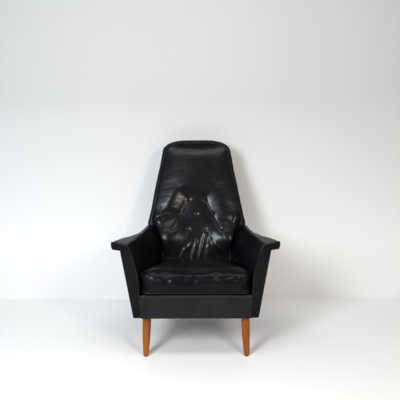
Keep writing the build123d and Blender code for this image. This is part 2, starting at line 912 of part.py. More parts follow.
def make_back_frame():
    def stile_inner(height):
        return stile_outer(height) - stile_width

    def rail_right(height):
        return stile_inner(height) - board_gap

    def rail_left(height):
        return -rail_right(height)

    levels = [
        rail_bottom, arm_seam - border_wall * 2, arm_seam, back_shoulder_height,
        back_waist_height, frame_top_rail - board_gap,
    ]
    stile = frame_piece(levels, stile_outer, stile_inner)
    rail_cut = Plane(
        origin=at(0, 0, rail_top(0) + board_gap), x_dir=(1, 0, 0), z_dir=(0, sin(seat_tilt), cos(seat_tilt))
    )
    stile = split(stile, bisect_by=rail_cut, keep=Keep.TOP).solid()
    bottom = frame_piece([frame_bottom_rail, frame_bottom_rail + rail_width], rail_right, rail_left)
    middle = frame_piece([frame_middle_rail, frame_middle_rail + rail_width], rail_right, rail_left)

    # The top rail carries the rounded outline of the back, inside the border
    inset = border_wall + frame_side_gap

    def top_rail_depth(height):
        return stile_depth(height) + stile_wall

    wires = [back_section(
        frame_top_rail, stile_depth(frame_top_rail), top_rail_depth(frame_top_rail),
        lambda depth: stile_outer(frame_top_rail),
    )]
    for height, half in corner_levels(inset):
        wires.append(back_section(
            height, stile_depth(height), top_rail_depth(height), lambda depth, half=half: half
        ))
    save("back_top_rail", ruled(wires))

    # Webbing straps across the front of the stiles, those behind buttons drilled for the ties
    straps = []
    for row in range(webbing_rows):
        centre = webbing_lowest + row * webbing_pitch
        straps.append(make_strap(centre))
    save("back_webbing", *straps)
    return {"stile": stile, "bottom": bottom, "middle": middle}


def make_strap(centre):
    wires = []
    for height in (centre - webbing_width / 2, centre + webbing_width / 2):
        front = stile_depth(height) - layer_gap - webbing_wall
        rear = stile_depth(height) - layer_gap
        half = stile_outer(height) - border_wall / 2
        if height < arm_top:
            half = min(half, inner_half(rear, height) - back_pad_side_gap)
        wires.append(back_section(height, front, rear, lambda depth, half=half: half))
    strap = ruled(wires)
    for half, height in button_places():
        drop = tie_length(half, height) * sin(back_tilt)
        if abs(height - drop - centre) < webbing_width / 2:
            hole = surface_plane(half, height, 0) * Pos(0, 0, -overrun) * Cylinder(tie_hole, 3 * overrun)
            strap -= hole
    return strap


def make_back_skins():
    def front(height):
        return back_front_depth(height) + border_setback

    def rear(height):
        return back_rear_depth(height) - panel_wall - layer_gap

    outer = back_layer(0, arm_seam, front, rear)
    inner = back_layer(
        border_wall, arm_seam - board_gap,
        lambda height: front(height) - overrun,
        lambda height: rear(height) + overrun,
    )
    border = outer - inner
    top = above(border, back_corner_level + board_gap / 2)
    sides = under(border, back_corner_level - board_gap / 2)
    right = [solid for solid in sides.solids() if solid.center().X > 0][0]
    save("back_border_top", top)
    save_pair("back_border", right)

    panel = [back_section(
        body_bottom, rear(body_bottom) + layer_gap, back_rear_depth(body_bottom),
        lambda depth: outer_half(depth, body_bottom),
    )]
    for height, half_of in back_levels(0, arm_seam):
        panel.append(back_section(height, rear(height) + layer_gap, back_rear_depth(height), half_of))
    save("back_outer_panel", ruled(panel))


# Legs


def make_legs():
    names = ("front", "rear")
    tops = ((front_leg_half, front_leg_depth), (rear_leg_half, rear_leg_depth))
    feet = ((front_foot_half, front_foot_depth), (rear_foot_half, rear_foot_depth))
    heights = (block_height, block_rear_height)
    bolts, nuts, glides, holes = [], [], [], []
    for name, top_place, foot_place, block in zip(names, tops, feet, heights):
        foot = Vector(*at(*foot_place, 0))
        top = Vector(*at(*top_place, leg_top))
        axis = Plane(origin=foot, z_dir=top - foot)
        length = (top - foot).length
        leg = under(above(axis * turned_leg(length), glide_height), leg_top)
        way = (top - foot).normalized()
        bolt_end = top + way * (block + tee_nut_wall + board_gap)
        bolt_start = top - way * hanger_in_leg
        leg -= rod(tuple(bolt_start), tuple(bolt_end), hanger_radius + hanger_fit)
        save_pair(f"leg_{name}", leg.solid())
        bolt = rod(tuple(bolt_start), tuple(bolt_end), hanger_radius)
        holes.append(rod(tuple(bolt_start), tuple(bolt_end + way * overrun), hanger_radius + hanger_fit))
        nut_level = rail_bottom + block + board_gap
        nut_place = top + way * ((nut_level - leg_top) / way.Z)
        nut = Pos(*nut_place) * Cylinder(
            tee_nut_radius, tee_nut_wall, align=(Align.CENTER, Align.CENTER, Align.MIN)
        ) - holes[-1]
        glide_place = foot + way * (glide_height / way.Z)
        glide = Pos(glide_place.X, glide_place.Y, 0) * Cylinder(
            glide_radius, glide_height - board_gap, align=(Align.CENTER, Align.CENTER, Align.MIN)
        )
        for group, piece in ((bolts, bolt), (nuts, nut), (glides, glide)):
            group += [piece, mirrored(piece)]
    save("leg_bolts", *bolts)
    save("leg_tee_nuts", *nuts)
    save("leg_glides", *glides)

    front = corner_block(front_rail_rear + board_gap, block_front_run, block_front_reach, block_height, 1)
    rear = corner_block(back_rail_front - board_gap, block_rear_run, block_rear_reach, block_rear_height, -1)
    blocks = []
    for block, hole in ((front, holes[0]), (rear, holes[1])):
        drilled = block - hole
        blocks += [drilled, mirrored(drilled)]
    save("corner_blocks", *blocks)


def turned_leg(length):
    """A leg turned about its own axis, a little longer than its two cuts."""
    belly = between(leg_foot_radius, leg_top_radius, leg_belly_share) + leg_belly_swell
    outline = Face(Wire([
        Line((0, -overrun), (leg_foot_radius, -overrun)),
        Line((leg_foot_radius, -overrun), (leg_foot_radius, 0)),
        ThreePointArc(
            (leg_foot_radius, 0), (belly, length * leg_belly_share), (leg_top_radius, length)
        ),
        Line((leg_top_radius, length), (leg_top_radius, length + overrun)),
        Line((leg_top_radius, length + overrun), (0, length + overrun)),
        Line((0, length + overrun), (0, -overrun)),
    ]))
    return revolve(Plane.XZ * outline, axis=Axis.Z)


# Dowels


def make_frame(arm, seat, back):
    """Drill the wooden frame for its dowels, then save the frame and the dowels."""
    pieces = {**arm, **seat, **back}
    pins = []

    def dowel(centre, way, *joined):
        reach = Vector(*way).normalized() * (dowel_length / 2)
        spare = Vector(*way).normalized() * (dowel_length / 2 + dowel_end_gap)
        middle = Vector(*centre)
        pin = rod(tuple(middle - reach), tuple(middle + reach), dowel_radius)
        hole = rod(tuple(middle - spare), tuple(middle + spare), dowel_radius + dowel_fit)
        pins.extend([pin, mirrored(pin)])
        for name in joined:
            pieces[name] = pieces[name] - hole
            if name in ("front_rail", "back_rail", "bottom", "middle"):
                pieces[name] = pieces[name] - mirrored(hole)

    front_middle = (front_rail_front + front_rail_rear) / 2
    for share in (1 / 3, 2 / 3):
        height = between(rail_bottom, front_rail_top(), share)
        joint = rail_end_half(front_middle, height)
        dowel(at(joint, front_middle, height), (1, 0, 0), "front_rail", "side_rail")
    back_middle = (back_rail_front + side_rail_end) / 2
    height = (rail_bottom + back_rail_top()) / 2
    dowel(at(rail_end_half(back_middle, height), back_middle, height), (1, 0, 0), "back_rail", "side_rail")

    post_half = outer_half(front_middle, rail_top(front_middle)) - panel_wall - post_wall / 2
    dowel(at(post_half, front_middle, rail_top(front_middle)), (0, 0, 1), "front_post", "side_rail")
    for name, level in (("bottom", frame_bottom_rail), ("middle", frame_middle_rail)):
        height = level + rail_width / 2
        joint = stile_outer(height) - stile_width
        dowel(at(joint, stile_depth(height) + stile_wall / 2, height), (1, 0, 0), name, "stile")

    save_pair("arm_top_board", pieces["board"])
    save_pair("arm_front_post", pieces["front_post"])
    save_pair("arm_rear_post", pieces["rear_post"])
    save_pair("seat_side_rail", pieces["side_rail"])
    save("seat_front_rail", pieces["front_rail"])
    save("seat_back_rail", pieces["back_rail"])
    save_pair("back_stile", pieces["stile"])
    save("back_bottom_rail", pieces["bottom"])
    save("back_middle_rail", pieces["middle"])
    save("frame_dowels", *pins)


make_frame(make_arms(), make_seat_frame(), make_back_frame())
make_springs()
make_deck()
make_dust_cover(((front_leg_half, front_leg_depth), (rear_leg_half, rear_leg_depth)))
make_cushion()
make_back_pad()
make_buttons()
make_back_skins()
make_legs()
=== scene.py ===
# %% [markdown]
# # High back lounge chair
# The chair is leather over foam and a beech frame, on four turned teak legs. The
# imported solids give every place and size. This lesson dresses them: each pad is made
# again as a soft form with rounded edges, folds, buttons and piping, and each solid
# that already has its right shape gets a finish.

import json
import math

import bmesh
import bpy
import numpy as np
from mathutils import Euler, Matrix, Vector, noise
from mathutils.bvhtree import BVHTree


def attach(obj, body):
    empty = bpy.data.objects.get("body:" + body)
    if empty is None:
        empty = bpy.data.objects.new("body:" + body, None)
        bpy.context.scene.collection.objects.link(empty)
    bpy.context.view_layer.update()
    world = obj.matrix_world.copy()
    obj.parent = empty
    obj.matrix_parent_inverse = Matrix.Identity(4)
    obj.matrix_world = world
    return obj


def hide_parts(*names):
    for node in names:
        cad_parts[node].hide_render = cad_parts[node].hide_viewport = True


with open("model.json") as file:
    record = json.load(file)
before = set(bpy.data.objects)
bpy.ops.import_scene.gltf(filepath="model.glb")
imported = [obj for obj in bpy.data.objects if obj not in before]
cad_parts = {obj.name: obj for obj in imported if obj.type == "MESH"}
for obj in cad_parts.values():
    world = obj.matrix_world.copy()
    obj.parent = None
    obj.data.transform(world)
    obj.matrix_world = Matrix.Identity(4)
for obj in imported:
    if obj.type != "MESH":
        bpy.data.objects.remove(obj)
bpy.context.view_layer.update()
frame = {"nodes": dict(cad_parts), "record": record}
nodes = frame["nodes"]
scene = bpy.context.scene
CHAIR, CUSHION = "chair", "seat_cushion"

# %% [markdown]
# ## Camera
# The photograph looks at the chair from the front, a little to the right and from
# about eye height of someone seated. A plain perspective camera with a slightly long
# lens repeats it. Only its pitch frames the chair, so no lens shift is needed.

# %% Camera
LENS, EYE = 43.83, (0.030, -2.62, 1.055)
LOOK_DOWN, ROLL, TURN = math.radians(7.26), math.radians(0.3), math.radians(0.16)
camera_data = bpy.data.cameras.new("photo_camera")
camera = bpy.data.objects.new("photo_camera", camera_data)
scene.collection.objects.link(camera)
camera_data.lens = LENS
camera.location = EYE
camera.rotation_euler = Euler((math.pi / 2 - LOOK_DOWN, ROLL, TURN), "XYZ")
scene.camera = camera
print("camera at", tuple(camera.location), "lens", camera_data.lens)

# %% [markdown]
# ## Measures of the upholstery
# The leather follows a few simple faces: the leaning sides, the inner faces of the
# arms that curve out to the crest, and the reclined back. They are written here as
# functions in millimetres, so that every soft piece meets its neighbours. A depth is
# counted from the front of the apron, and a half width from the middle of the chair.

# %% Faces that the upholstery follows
CHAIR_DEPTH, BODY_BOTTOM, ARM_SEAM, ARM_TOP = 780.0, 200.0, 522.0, 557.0
ARM_FRONT, ARM_REAR, SIDE_REAR, INNER_BEND = 12.0, 550.0, 600.0, 330.0
SEAT_FRONT, SEAT_SLOPE = 310.0, math.radians(7)
# Faces that lean: depth at the foot, height of the foot and lean
BACK_FRONT, BACK_FOOT, BACK_RECLINE = 480.0, 350.0, 0.335
STILE_FRONT, STILE_FOOT, STILE_LEAN = 536.0, 300.0, 0.2743
REAR_LEAN = 0.2143
# Half widths at the front and at the rear: outside and inside, at foot and top
OUTER_FOOT, OUTER_TOP, OUTER_RISE = (299.0, 228.0), (355.0, 277.0), 330.0
INNER_FOOT, INNER_TOP = (272.0, 190.0), (320.0, 250.0)
# The crown's round corners: where they start, and how far they run in and up
NECK_HALF, CORNER_LEVEL, CORNER_RUN, CORNER_RISE = 203.0, 974.0, 135.0, 66.0
# Where the back's taper changes: height, half width, and how much narrower per depth
WAIST, SHOULDER = (570.0, 285.0, 0.115), (640.0, 268.0, 0.09)
NECK = (CORNER_LEVEL, NECK_HALF, 0.0)


def at(half, depth, height):
    """A point in metres from a half width, depth and height in millimetres."""
    return Vector((half, depth - CHAIR_DEPTH / 2, height)) / 1000


def between(low, high, share):
    return low + (high - low) * share


def eased(share):
    """A share that leaves 0 and reaches 1 smoothly."""
    share = min(max(share, 0), 1)
    return share * share * (3 - 2 * share)


def faded(off, reach):
    """1 at no distance, fading out smoothly over a reach."""
    return math.exp(-((off / reach) ** 2))


def outer_half(depth, height):
    along = (depth - ARM_FRONT) / (SIDE_REAR - ARM_FRONT)
    low, high = between(*OUTER_FOOT, along), between(*OUTER_TOP, along)
    return between(low, high, (height - BODY_BOTTOM) / OUTER_RISE)


def inner_half(depth, height):
    along = (depth - ARM_FRONT) / (ARM_REAR - ARM_FRONT)
    low, top = between(*INNER_FOOT, along), between(*INNER_TOP, along)
    if height <= INNER_BEND:
        return low
    spread, rise = top - low, ARM_TOP - INNER_BEND
    radius = (spread**2 + rise**2) / (2 * spread)
    return low + radius - math.sqrt(radius**2 - (height - INNER_BEND) ** 2)


def back_front_depth(height):
    return BACK_FRONT + BACK_RECLINE * max(height - BACK_FOOT, 0)


def back_rear_depth(height):
    return SIDE_REAR + REAR_LEAN * (height - BODY_BOTTOM)


def stile_depth(height):
    return STILE_FRONT + STILE_LEAN * (height - STILE_FOOT)


def back_half(depth, height):
    if height <= ARM_SEAM:
        return outer_half(depth, height)
    into = depth - back_front_depth(height)
    if height <= WAIST[0]:
        share = (height - ARM_SEAM) / (WAIST[0] - ARM_SEAM)
        return between(outer_half(depth, ARM_SEAM), WAIST[1] - WAIST[2] * into, share)
    low, high = (WAIST, SHOULDER) if height <= SHOULDER[0] else (SHOULDER, NECK)
    share = (height - low[0]) / (high[0] - low[0])
    return between(low[1], high[1], share) - between(low[2], high[2], share) * into


print("clear width between the arms", 2 * inner_half(ARM_FRONT, INNER_BEND), "mm")

# %% [markdown]
# ## Finishes
# The hide has a fine pebbled grain, long soft creases and worn, shinier patches. One
# shader group makes those three from Object coordinates, and each leather mixes them
# in its own way. Wood gets a second group: long drawn-out figure and fine pores.


# %% Shader helpers
def shader_group(name, inputs, outputs):
    """An empty shader group of floats, with the sockets at its two ends."""
    group = bpy.data.node_groups.new(name, "ShaderNodeTree")
    for label, value in inputs.items():
        socket = group.interface.new_socket(label, in_out="INPUT", socket_type="NodeSocketFloat")
        socket.default_value = value
    for label in outputs:
        group.interface.new_socket(label, in_out="OUTPUT", socket_type="NodeSocketFloat")
    inside, end = group.nodes.new("NodeGroupInput"), group.nodes.new("NodeGroupOutput")
    return group, inside.outputs, end.inputs


def add(tree, kind, links=None, **values):
    """A node in a tree. Values set its properties or inputs, links feed its inputs."""
    node = tree.nodes.new(kind)
    for key, value in values.items():
        if hasattr(node, key):
            setattr(node, key, value)
        else:
            node.inputs[key.replace("_", " ")].default_value = value
    for key, source in (links or {}).items():
        tree.links.new(source, node.inputs[key])
    return node


def shade(tree, source, low, high, out_low=0.0, out_high=1.0):
    """A value from one range spread over another."""
    ramp = add(tree, "ShaderNodeMapRange", {"Value": source},
               From_Min=low, From_Max=high, To_Min=out_low, To_Max=out_high)
    return ramp.outputs["Result"]


def combine(tree, operation, first, second):
    """Two sockets, or a socket and a number, through a Math node."""
    node = add(tree, "ShaderNodeMath", operation=operation)
    for socket, value in zip(node.inputs, (first, second)):
        if isinstance(value, float):
            socket.default_value = value
        else:
            tree.links.new(value, socket)
    return node.outputs[0]


def mix_shaders(tree, factor, first, second, end):
    """Ends a tree in the first shader where the factor is 0 and the second where it is 1."""
    mix = tree.nodes.new("ShaderNodeMixShader")
    for socket, source in zip(mix.inputs, (factor, first, second)):
        tree.links.new(source, socket)
    tree.links.new(mix.outputs[0], tree.nodes[end].inputs["Surface"])


def new_material(name, **values):
    """A material, its tree and the inputs of its shader, with values set on those."""
    material = bpy.data.materials.new(name)
    material.use_nodes = True
    surface = material.node_tree.nodes["Principled BSDF"].inputs
    for label, value in values.items():
        surface[label.replace("_", " ")].default_value = value
    return material, material.node_tree, surface


def colour_and_relief(tree, surface, share, dark, light, height, strength, distance):
    """Mixes two tones by a share, and makes a relief from a height."""
    colour = add(tree, "ShaderNodeMix", {"Factor": share}, data_type="RGBA")
    colour.inputs["A"].default_value = (*dark, 1)
    colour.inputs["B"].default_value = (*light, 1)
    tree.links.new(colour.outputs["Result"], surface["Base Color"])
    relief = add(tree, "ShaderNodeBump", {"Height": height}, Strength=strength, Distance=distance)
    tree.links.new(relief.outputs["Normal"], surface["Normal"])


# %% The hide's pattern
GRAIN_SHARE = 0.18


def make_hide_pattern():
    tree, sizes, out = shader_group(
        "hide_pattern", {"Grain Scale": 700.0, "Crease Scale": 26.0, "Patch Scale": 7.0},
        ("Patches", "Height"),
    )
    place = tree.nodes.new("ShaderNodeTexCoord").outputs["Object"]
    grain = add(tree, "ShaderNodeTexVoronoi", {"Vector": place, "Scale": sizes["Grain Scale"]},
                feature="SMOOTH_F1", Smoothness=0.6)
    crease = add(tree, "ShaderNodeTexNoise", {"Vector": place, "Scale": sizes["Crease Scale"]},
                 Detail=5.0, Roughness=0.55, Distortion=0.9)
    patches = add(tree, "ShaderNodeTexNoise", {"Vector": place, "Scale": sizes["Patch Scale"]},
                  Detail=3.0, Roughness=0.6, Distortion=0.4)
    folds = shade(tree, crease.outputs["Fac"], 0.3, 0.7)
    fine = combine(tree, "MULTIPLY", grain.outputs["Distance"], GRAIN_SHARE)
    tree.links.new(combine(tree, "ADD", folds, fine), out["Height"])
    tree.links.new(shade(tree, patches.outputs["Fac"], 0.35, 0.65), out["Patches"])
    return tree


hide_pattern = make_hide_pattern()

# %% Leathers
BLACK = (0.0022, 0.0026, 0.0034), (0.0045, 0.0050, 0.0062)
DULL_BLACK = (0.0080, 0.0082, 0.0088), (0.0135, 0.0137, 0.0144)
WELT_BLACK = (0.006, 0.006, 0.007), (0.012, 0.012, 0.014)
CREASE_DEPTH, WELT_CREASE_DEPTH = 0.0004, 0.0002


def leather(name, dark, light, rough, bump, coat, shine=0.17):
    """A hide between two tones and two roughnesses, with creases of a bump's depth."""
    material, tree, surface = new_material(
        name, Specular_IOR_Level=shine, Coat_Weight=coat, Coat_Roughness=0.14)
    pattern = add(tree, "ShaderNodeGroup", node_tree=hide_pattern).outputs
    patches, height = pattern["Patches"], pattern["Height"]
    colour_and_relief(tree, surface, patches, dark, light, height, 0.5, bump)
    tree.links.new(shade(tree, patches, 0, 1, *rough), surface["Roughness"])
    return material


black_hide = leather("black_hide", *BLACK, (0.32, 0.24), CREASE_DEPTH, 0.09)
worn_hide = leather("worn_hide", *BLACK, (0.42, 0.32), CREASE_DEPTH, 0.10, 0.05)
border_hide = leather("border_hide", *BLACK, (0.50, 0.40), CREASE_DEPTH, 0.02, 0.12)
apron_hide = leather("apron_hide", *DULL_BLACK, (0.55, 0.45), CREASE_DEPTH, 0.0, 0.13)
welt_hide = leather("welt_hide", *WELT_BLACK, (0.32, 0.24), WELT_CREASE_DEPTH, 0.3)

# %% Wood
FIGURE_SHARE, PORE_SHARE, PORE_DEPTH = 0.75, 0.25, 0.0002


def make_wood_pattern():
    tree, sizes, out = shader_group(
        "wood_pattern", {"Figure Scale": 9.0, "Pore Scale": 160.0}, ("Figure", "Pores"))
    place = tree.nodes.new("ShaderNodeTexCoord").outputs["Object"]
    drawn = add(tree, "ShaderNodeMapping", {"Vector": place}, Scale=(1.0, 1.0, 0.09))
    drawn = drawn.outputs["Vector"]
    figure = add(tree, "ShaderNodeTexNoise", {"Vector": drawn, "Scale": sizes["Figure Scale"]},
                 Detail=4.0, Roughness=0.55, Distortion=1.2)
    pores = add(tree, "ShaderNodeTexNoise", {"Vector": drawn, "Scale": sizes["Pore Scale"]},
                Detail=2.0, Roughness=0.5)
    tree.links.new(shade(tree, figure.outputs["Fac"], 0.3, 0.7), out["Figure"])
    tree.links.new(shade(tree, pores.outputs["Fac"], 0.4, 0.6), out["Pores"])
    return tree


wood_pattern = make_wood_pattern()


def timber(name, dark, light, rough, figure_scale):
    """Wood between two tones, a little rougher where it is dark."""
    material, tree, surface = new_material(name, Specular_IOR_Level=0.15)
    pattern = add(tree, "ShaderNodeGroup", node_tree=wood_pattern, Figure_Scale=figure_scale)
    figure, pores = pattern.outputs["Figure"], pattern.outputs["Pores"]
    share = combine(tree, "ADD", combine(tree, "MULTIPLY", figure, FIGURE_SHARE),
                    combine(tree, "MULTIPLY", pores, PORE_SHARE))
    colour_and_relief(tree, surface, share, dark, light, pores, 0.3, PORE_DEPTH)
    roughness = shade(tree, figure, 0, 1, rough + 0.06, rough - 0.06)
    tree.links.new(roughness, surface["Roughness"])
    return material


teak = timber("teak", (0.19, 0.045, 0.004), (0.36, 0.102, 0.009), 0.36, 22.0)
beech = timber("beech", (0.50, 0.34, 0.20), (0.68, 0.50, 0.32), 0.62, 14.0)

# %% [markdown]
# The hidden stuff is plainer: cloth with a fine weave, brown board, foam and metal.
# One helper gives each of them a base colour that varies a little and a fine relief.

# %% Cloth, board, foam and metal
# Dark and light tone, roughness, scale of the speckle, its relief in metres, metallic
PLAIN_STUFFS = {
    "platform_cloth": ((0.012, 0.012, 0.013), (0.03, 0.03, 0.03), 0.9, 900, 0.0004, 0.0),
    "jute": ((0.24, 0.16, 0.09), (0.42, 0.31, 0.19), 0.92, 500, 0.0006, 0.0),
    "board_brown": ((0.26, 0.18, 0.11), (0.38, 0.28, 0.18), 0.85, 120, 0.0002, 0.0),
    "foam_cream": ((0.66, 0.56, 0.34), (0.80, 0.72, 0.50), 0.95, 700, 0.0005, 0.0),
    "twine_black": ((0.02, 0.018, 0.015), (0.05, 0.045, 0.04), 0.7, 900, 0.0002, 0.0),
    "spring_steel": ((0.16, 0.16, 0.17), (0.28, 0.28, 0.30), 0.42, 80, 0.00005, 1.0),
    "zinc": ((0.52, 0.51, 0.47), (0.66, 0.65, 0.61), 0.40, 120, 0.00005, 1.0),
    "glide_nylon": ((0.012, 0.012, 0.012), (0.028, 0.028, 0.028), 0.5, 200, 0.0001, 0.0),
}


def plain_stuff(name, dark, light, rough, scale, relief, metallic):
    material, tree, surface = new_material(name, Metallic=metallic)
    place = tree.nodes.new("ShaderNodeTexCoord").outputs["Object"]
    speckle = add(tree, "ShaderNodeTexNoise", {"Vector": place}, Scale=scale, Detail=3.0)
    share = shade(tree, speckle.outputs["Fac"], 0.35, 0.65)
    colour_and_relief(tree, surface, share, dark, light, share, 0.4, relief)
    tree.links.new(shade(tree, share, 0, 1, rough, rough - 0.08), surface["Roughness"])
    return material


stuff = {name: plain_stuff(name, *looks) for name, looks in PLAIN_STUFFS.items()}
FINISH_OF_SLOT = {
    "black_leather": black_hide, "apron_leather": apron_hide, "teak": teak, "beech": beech,
    "foam": stuff["foam_cream"], "webbing": stuff["jute"], "hessian": stuff["platform_cloth"],
    "board": stuff["board_brown"], "spring_steel": stuff["spring_steel"],
    "hardware": stuff["zinc"], "twine": stuff["twine_black"],
    "glide_plastic": stuff["glide_nylon"],
}
for part in frame["record"]["subparts"]:
    solid = nodes[part["node"]]
    solid.data.materials.clear()
    solid.data.materials.append(FINISH_OF_SLOT[part["material_slot"]])
print(len(bpy.data.materials), "materials")

# %% [markdown]
# ## Soft copies
# A panel of leather over foam has the same faces as its solid, but no sharp edge. The
# solid's loose triangles are merged and remeshed into small even faces, then smoothed
# so that the edges turn over softly. Some copies are grown by a hair, and all get folds
# by moving their points along their normals.

# %% Helpers for soft pieces
SAME_POINT = 0.00002
# Noise of the folds: how the layers fade, how much finer each is, and their number
FADE, FINER, LAYERS = 0.6, 2.0, 3
SEED_STEP = (3.1, 1.7, 2.3)


def new_piece(name, mesh):
    piece = bpy.data.objects.new(name, mesh)
    scene.collection.objects.link(piece)
    return piece


def mesh_piece(name, corners, edges, faces):
    mesh = bpy.data.meshes.new(name)
    mesh.from_pydata(corners, edges, faces)
    mesh.update()
    return new_piece(name, mesh)


def rework(piece, change):
    """Makes a change on the piece's mesh as a bmesh."""
    work = bmesh.new()
    work.from_mesh(piece.data)
    change(work)
    work.to_mesh(piece.data)
    work.free()


def harden(piece):
    """Replaces the piece's mesh with what its modifiers make of it."""
    depsgraph = bpy.context.evaluated_depsgraph_get()
    evaluated = piece.evaluated_get(depsgraph)
    mesh = bpy.data.meshes.new_from_object(evaluated, depsgraph=depsgraph)
    old = piece.data
    piece.modifiers.clear()
    piece.data = mesh
    bpy.data.meshes.remove(old)
    mesh.name = piece.name


def merged(*sources):
    """The solids of some nodes as one bmesh with its doubled points merged."""
    work = bmesh.new()
    for source in sources:
        work.from_mesh(nodes[source].data)
    bmesh.ops.remove_doubles(work, verts=work.verts, dist=SAME_POINT)
    return work


def rows_of(values, label):
    """A property with three numbers for each point, as an array of rows."""
    flat = np.empty(len(values) * 3)
    values.foreach_get(label, flat)
    return flat.reshape(-1, 3)


def points_of(piece):
    return rows_of(piece.data.vertices, "co")


def normals_of(piece):
    return rows_of(piece.data.vertex_normals, "vector")


def move_points(piece, places):
    piece.data.vertices.foreach_set("co", places.ravel())
    piece.data.update()


def soft_copy(name, sources, voxel=0.004, rounds=8, grow=0.0):
    """The solids remeshed into even faces, rounded, and grown by a hair."""
    work = merged(*sources)
    mesh = bpy.data.meshes.new(name)
    work.to_mesh(mesh)
    work.free()
    mesh.materials.clear()
    piece = new_piece(name, mesh)
    even = piece.modifiers.new("even faces", "REMESH")
    even.mode = "VOXEL"
    even.voxel_size = voxel
    rounded = piece.modifiers.new("soft edges", "SMOOTH")
    rounded.factor = 0.5
    rounded.iterations = rounds
    harden(piece)
    if grow:
        move_points(piece, points_of(piece) + normals_of(piece) * grow)
    return piece


def crumple(piece, height, stretch, seed, where=None):
    """Soft folds: noise along the normals, drawn out by a stretch along each axis."""
    places, outwards = points_of(piece), normals_of(piece)
    shift = Vector([seed * step for step in SEED_STEP])
    lift = np.array([
        noise.fractal(Vector(place) + shift, FADE, FINER, LAYERS)
        for place in places * np.array(stretch)
    ])
    if where is not None:
        lift *= np.array([where(place) for place in places * 1000])
    move_points(piece, places + outwards * (lift * height)[:, None])


def finish_soft(piece, finish, fill, *replaced, slot="black_leather", body=CHAIR):
    """The calls that every soft piece ends with."""
    piece.data.materials.clear()
    piece.data.materials.append(finish)
    piece.data.polygons.foreach_set("use_smooth", [True] * len(piece.data.polygons))
    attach(piece, body)
    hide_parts(*replaced)
    print(piece.name, len(piece.data.polygons), "faces")


# %% [markdown]
# ## Piping, stitches and studs
# Whatever follows a path is made by Geometry Nodes. The path is a thin mesh of edges
# only. One tree sweeps a round cord of leather along it, one sets a stitch at each
# step of it, and one sets a flattened bead on each of its points.


# %% Geometry Nodes helpers
def geometry_tree(name, inputs):
    """An empty tree with a geometry in and out, named inputs with values and a finish."""
    tree = bpy.data.node_groups.new(name, "GeometryNodeTree")
    tree.interface.new_socket("Geometry", in_out="INPUT", socket_type="NodeSocketGeometry")
    for label, value in inputs.items():
        kind = "NodeSocketFloat" if isinstance(value, float) else "NodeSocketVector"
        socket = tree.interface.new_socket(label, in_out="INPUT", socket_type=kind)
        socket.default_value = value
    tree.interface.new_socket("Finish", in_out="INPUT", socket_type="NodeSocketMaterial")
    tree.interface.new_socket("Geometry", in_out="OUTPUT", socket_type="NodeSocketGeometry")
    inside, end = tree.nodes.new("NodeGroupInput"), tree.nodes.new("NodeGroupOutput")
    return tree, inside.outputs, end.inputs


def end_tree(tree, geometry, sizes, out):
    """Every tree ends in plain, smooth mesh with its finish set."""
    plain = add(tree, "GeometryNodeRealizeInstances", {"Geometry": geometry})
    smooth = add(tree, "GeometryNodeSetShadeSmooth", {"Geometry": plain.outputs["Geometry"]})
    paint = add(tree, "GeometryNodeSetMaterial", {
        "Geometry": smooth.outputs["Geometry"], "Material": sizes["Finish"],
    })
    tree.links.new(paint.outputs["Geometry"], out["Geometry"])


def path_piece(name, paths, closed):
    """A mesh of edges only, along lists of points in metres."""
    corners, edges = [], []
    for path in paths:
        first = len(corners)
        corners += path
        edges += [(first + index, first + index + 1) for index in range(len(path) - 1)]
        if closed:
            edges.append((len(corners) - 1, first))
    return mesh_piece(name, corners, edges, [])


# %% Tree: a cord swept along a path
def make_piping_tree():
    tree, sizes, out = geometry_tree("piping", {"Radius": 0.002, "Step": 0.006})
    line = add(tree, "GeometryNodeMeshToCurve", {"Mesh": sizes["Geometry"]})
    even = add(tree, "GeometryNodeResampleCurve", {
        "Curve": line.outputs["Curve"], "Length": sizes["Step"],
    }, mode="LENGTH")
    ring = add(tree, "GeometryNodeCurvePrimitiveCircle", {"Radius": sizes["Radius"]}, Resolution=8)
    tube = add(tree, "GeometryNodeCurveToMesh", {
        "Curve": even.outputs["Curve"], "Profile Curve": ring.outputs["Curve"],
    }, Fill_Caps=True)
    end_tree(tree, tube.outputs["Mesh"], sizes, out)
    return tree


# %% Tree: a row of stitches
def make_stitch_tree():
    tree, sizes, out = geometry_tree(
        "stitch row", {"Pitch": 0.006, "Length": 0.004, "Radius": 0.0004})
    line = add(tree, "GeometryNodeMeshToCurve", {"Mesh": sizes["Geometry"]})
    steps = add(tree, "GeometryNodeCurveToPoints", {
        "Curve": line.outputs["Curve"], "Length": sizes["Pitch"],
    }, mode="LENGTH")
    thread = add(tree, "GeometryNodeMeshCylinder", {
        "Radius": sizes["Radius"], "Depth": sizes["Length"],
    }, Vertices=6)
    row = add(tree, "GeometryNodeInstanceOnPoints", {
        "Points": steps.outputs["Points"], "Instance": thread.outputs["Mesh"],
        "Rotation": steps.outputs["Rotation"],
    })
    end_tree(tree, row.outputs["Instances"], sizes, out)
    return tree


# %% Tree: a flattened bead on each point
def make_bead_tree():
    tree, sizes, out = geometry_tree("bead on each point", {
        "Radius": 0.008, "Flatness": (1.0, 1.0, 0.5), "Tilt": (0.0, 0.0, 0.0),
    })
    ball = add(tree, "GeometryNodeMeshUVSphere", {"Radius": sizes["Radius"]},
               Segments=24, Rings=12)
    flat = add(tree, "GeometryNodeTransform", {
        "Geometry": ball.outputs["Mesh"], "Scale": sizes["Flatness"],
    })
    beads = add(tree, "GeometryNodeInstanceOnPoints", {
        "Points": sizes["Geometry"], "Instance": flat.outputs["Geometry"],
        "Rotation": sizes["Tilt"],
    })
    end_tree(tree, beads.outputs["Instances"], sizes, out)
    return tree


piping_tree, stitch_tree, bead_tree = make_piping_tree(), make_stitch_tree(), make_bead_tree()

# %% Outlines and rows to sew along
FACES_THAT_WAY = 0.94


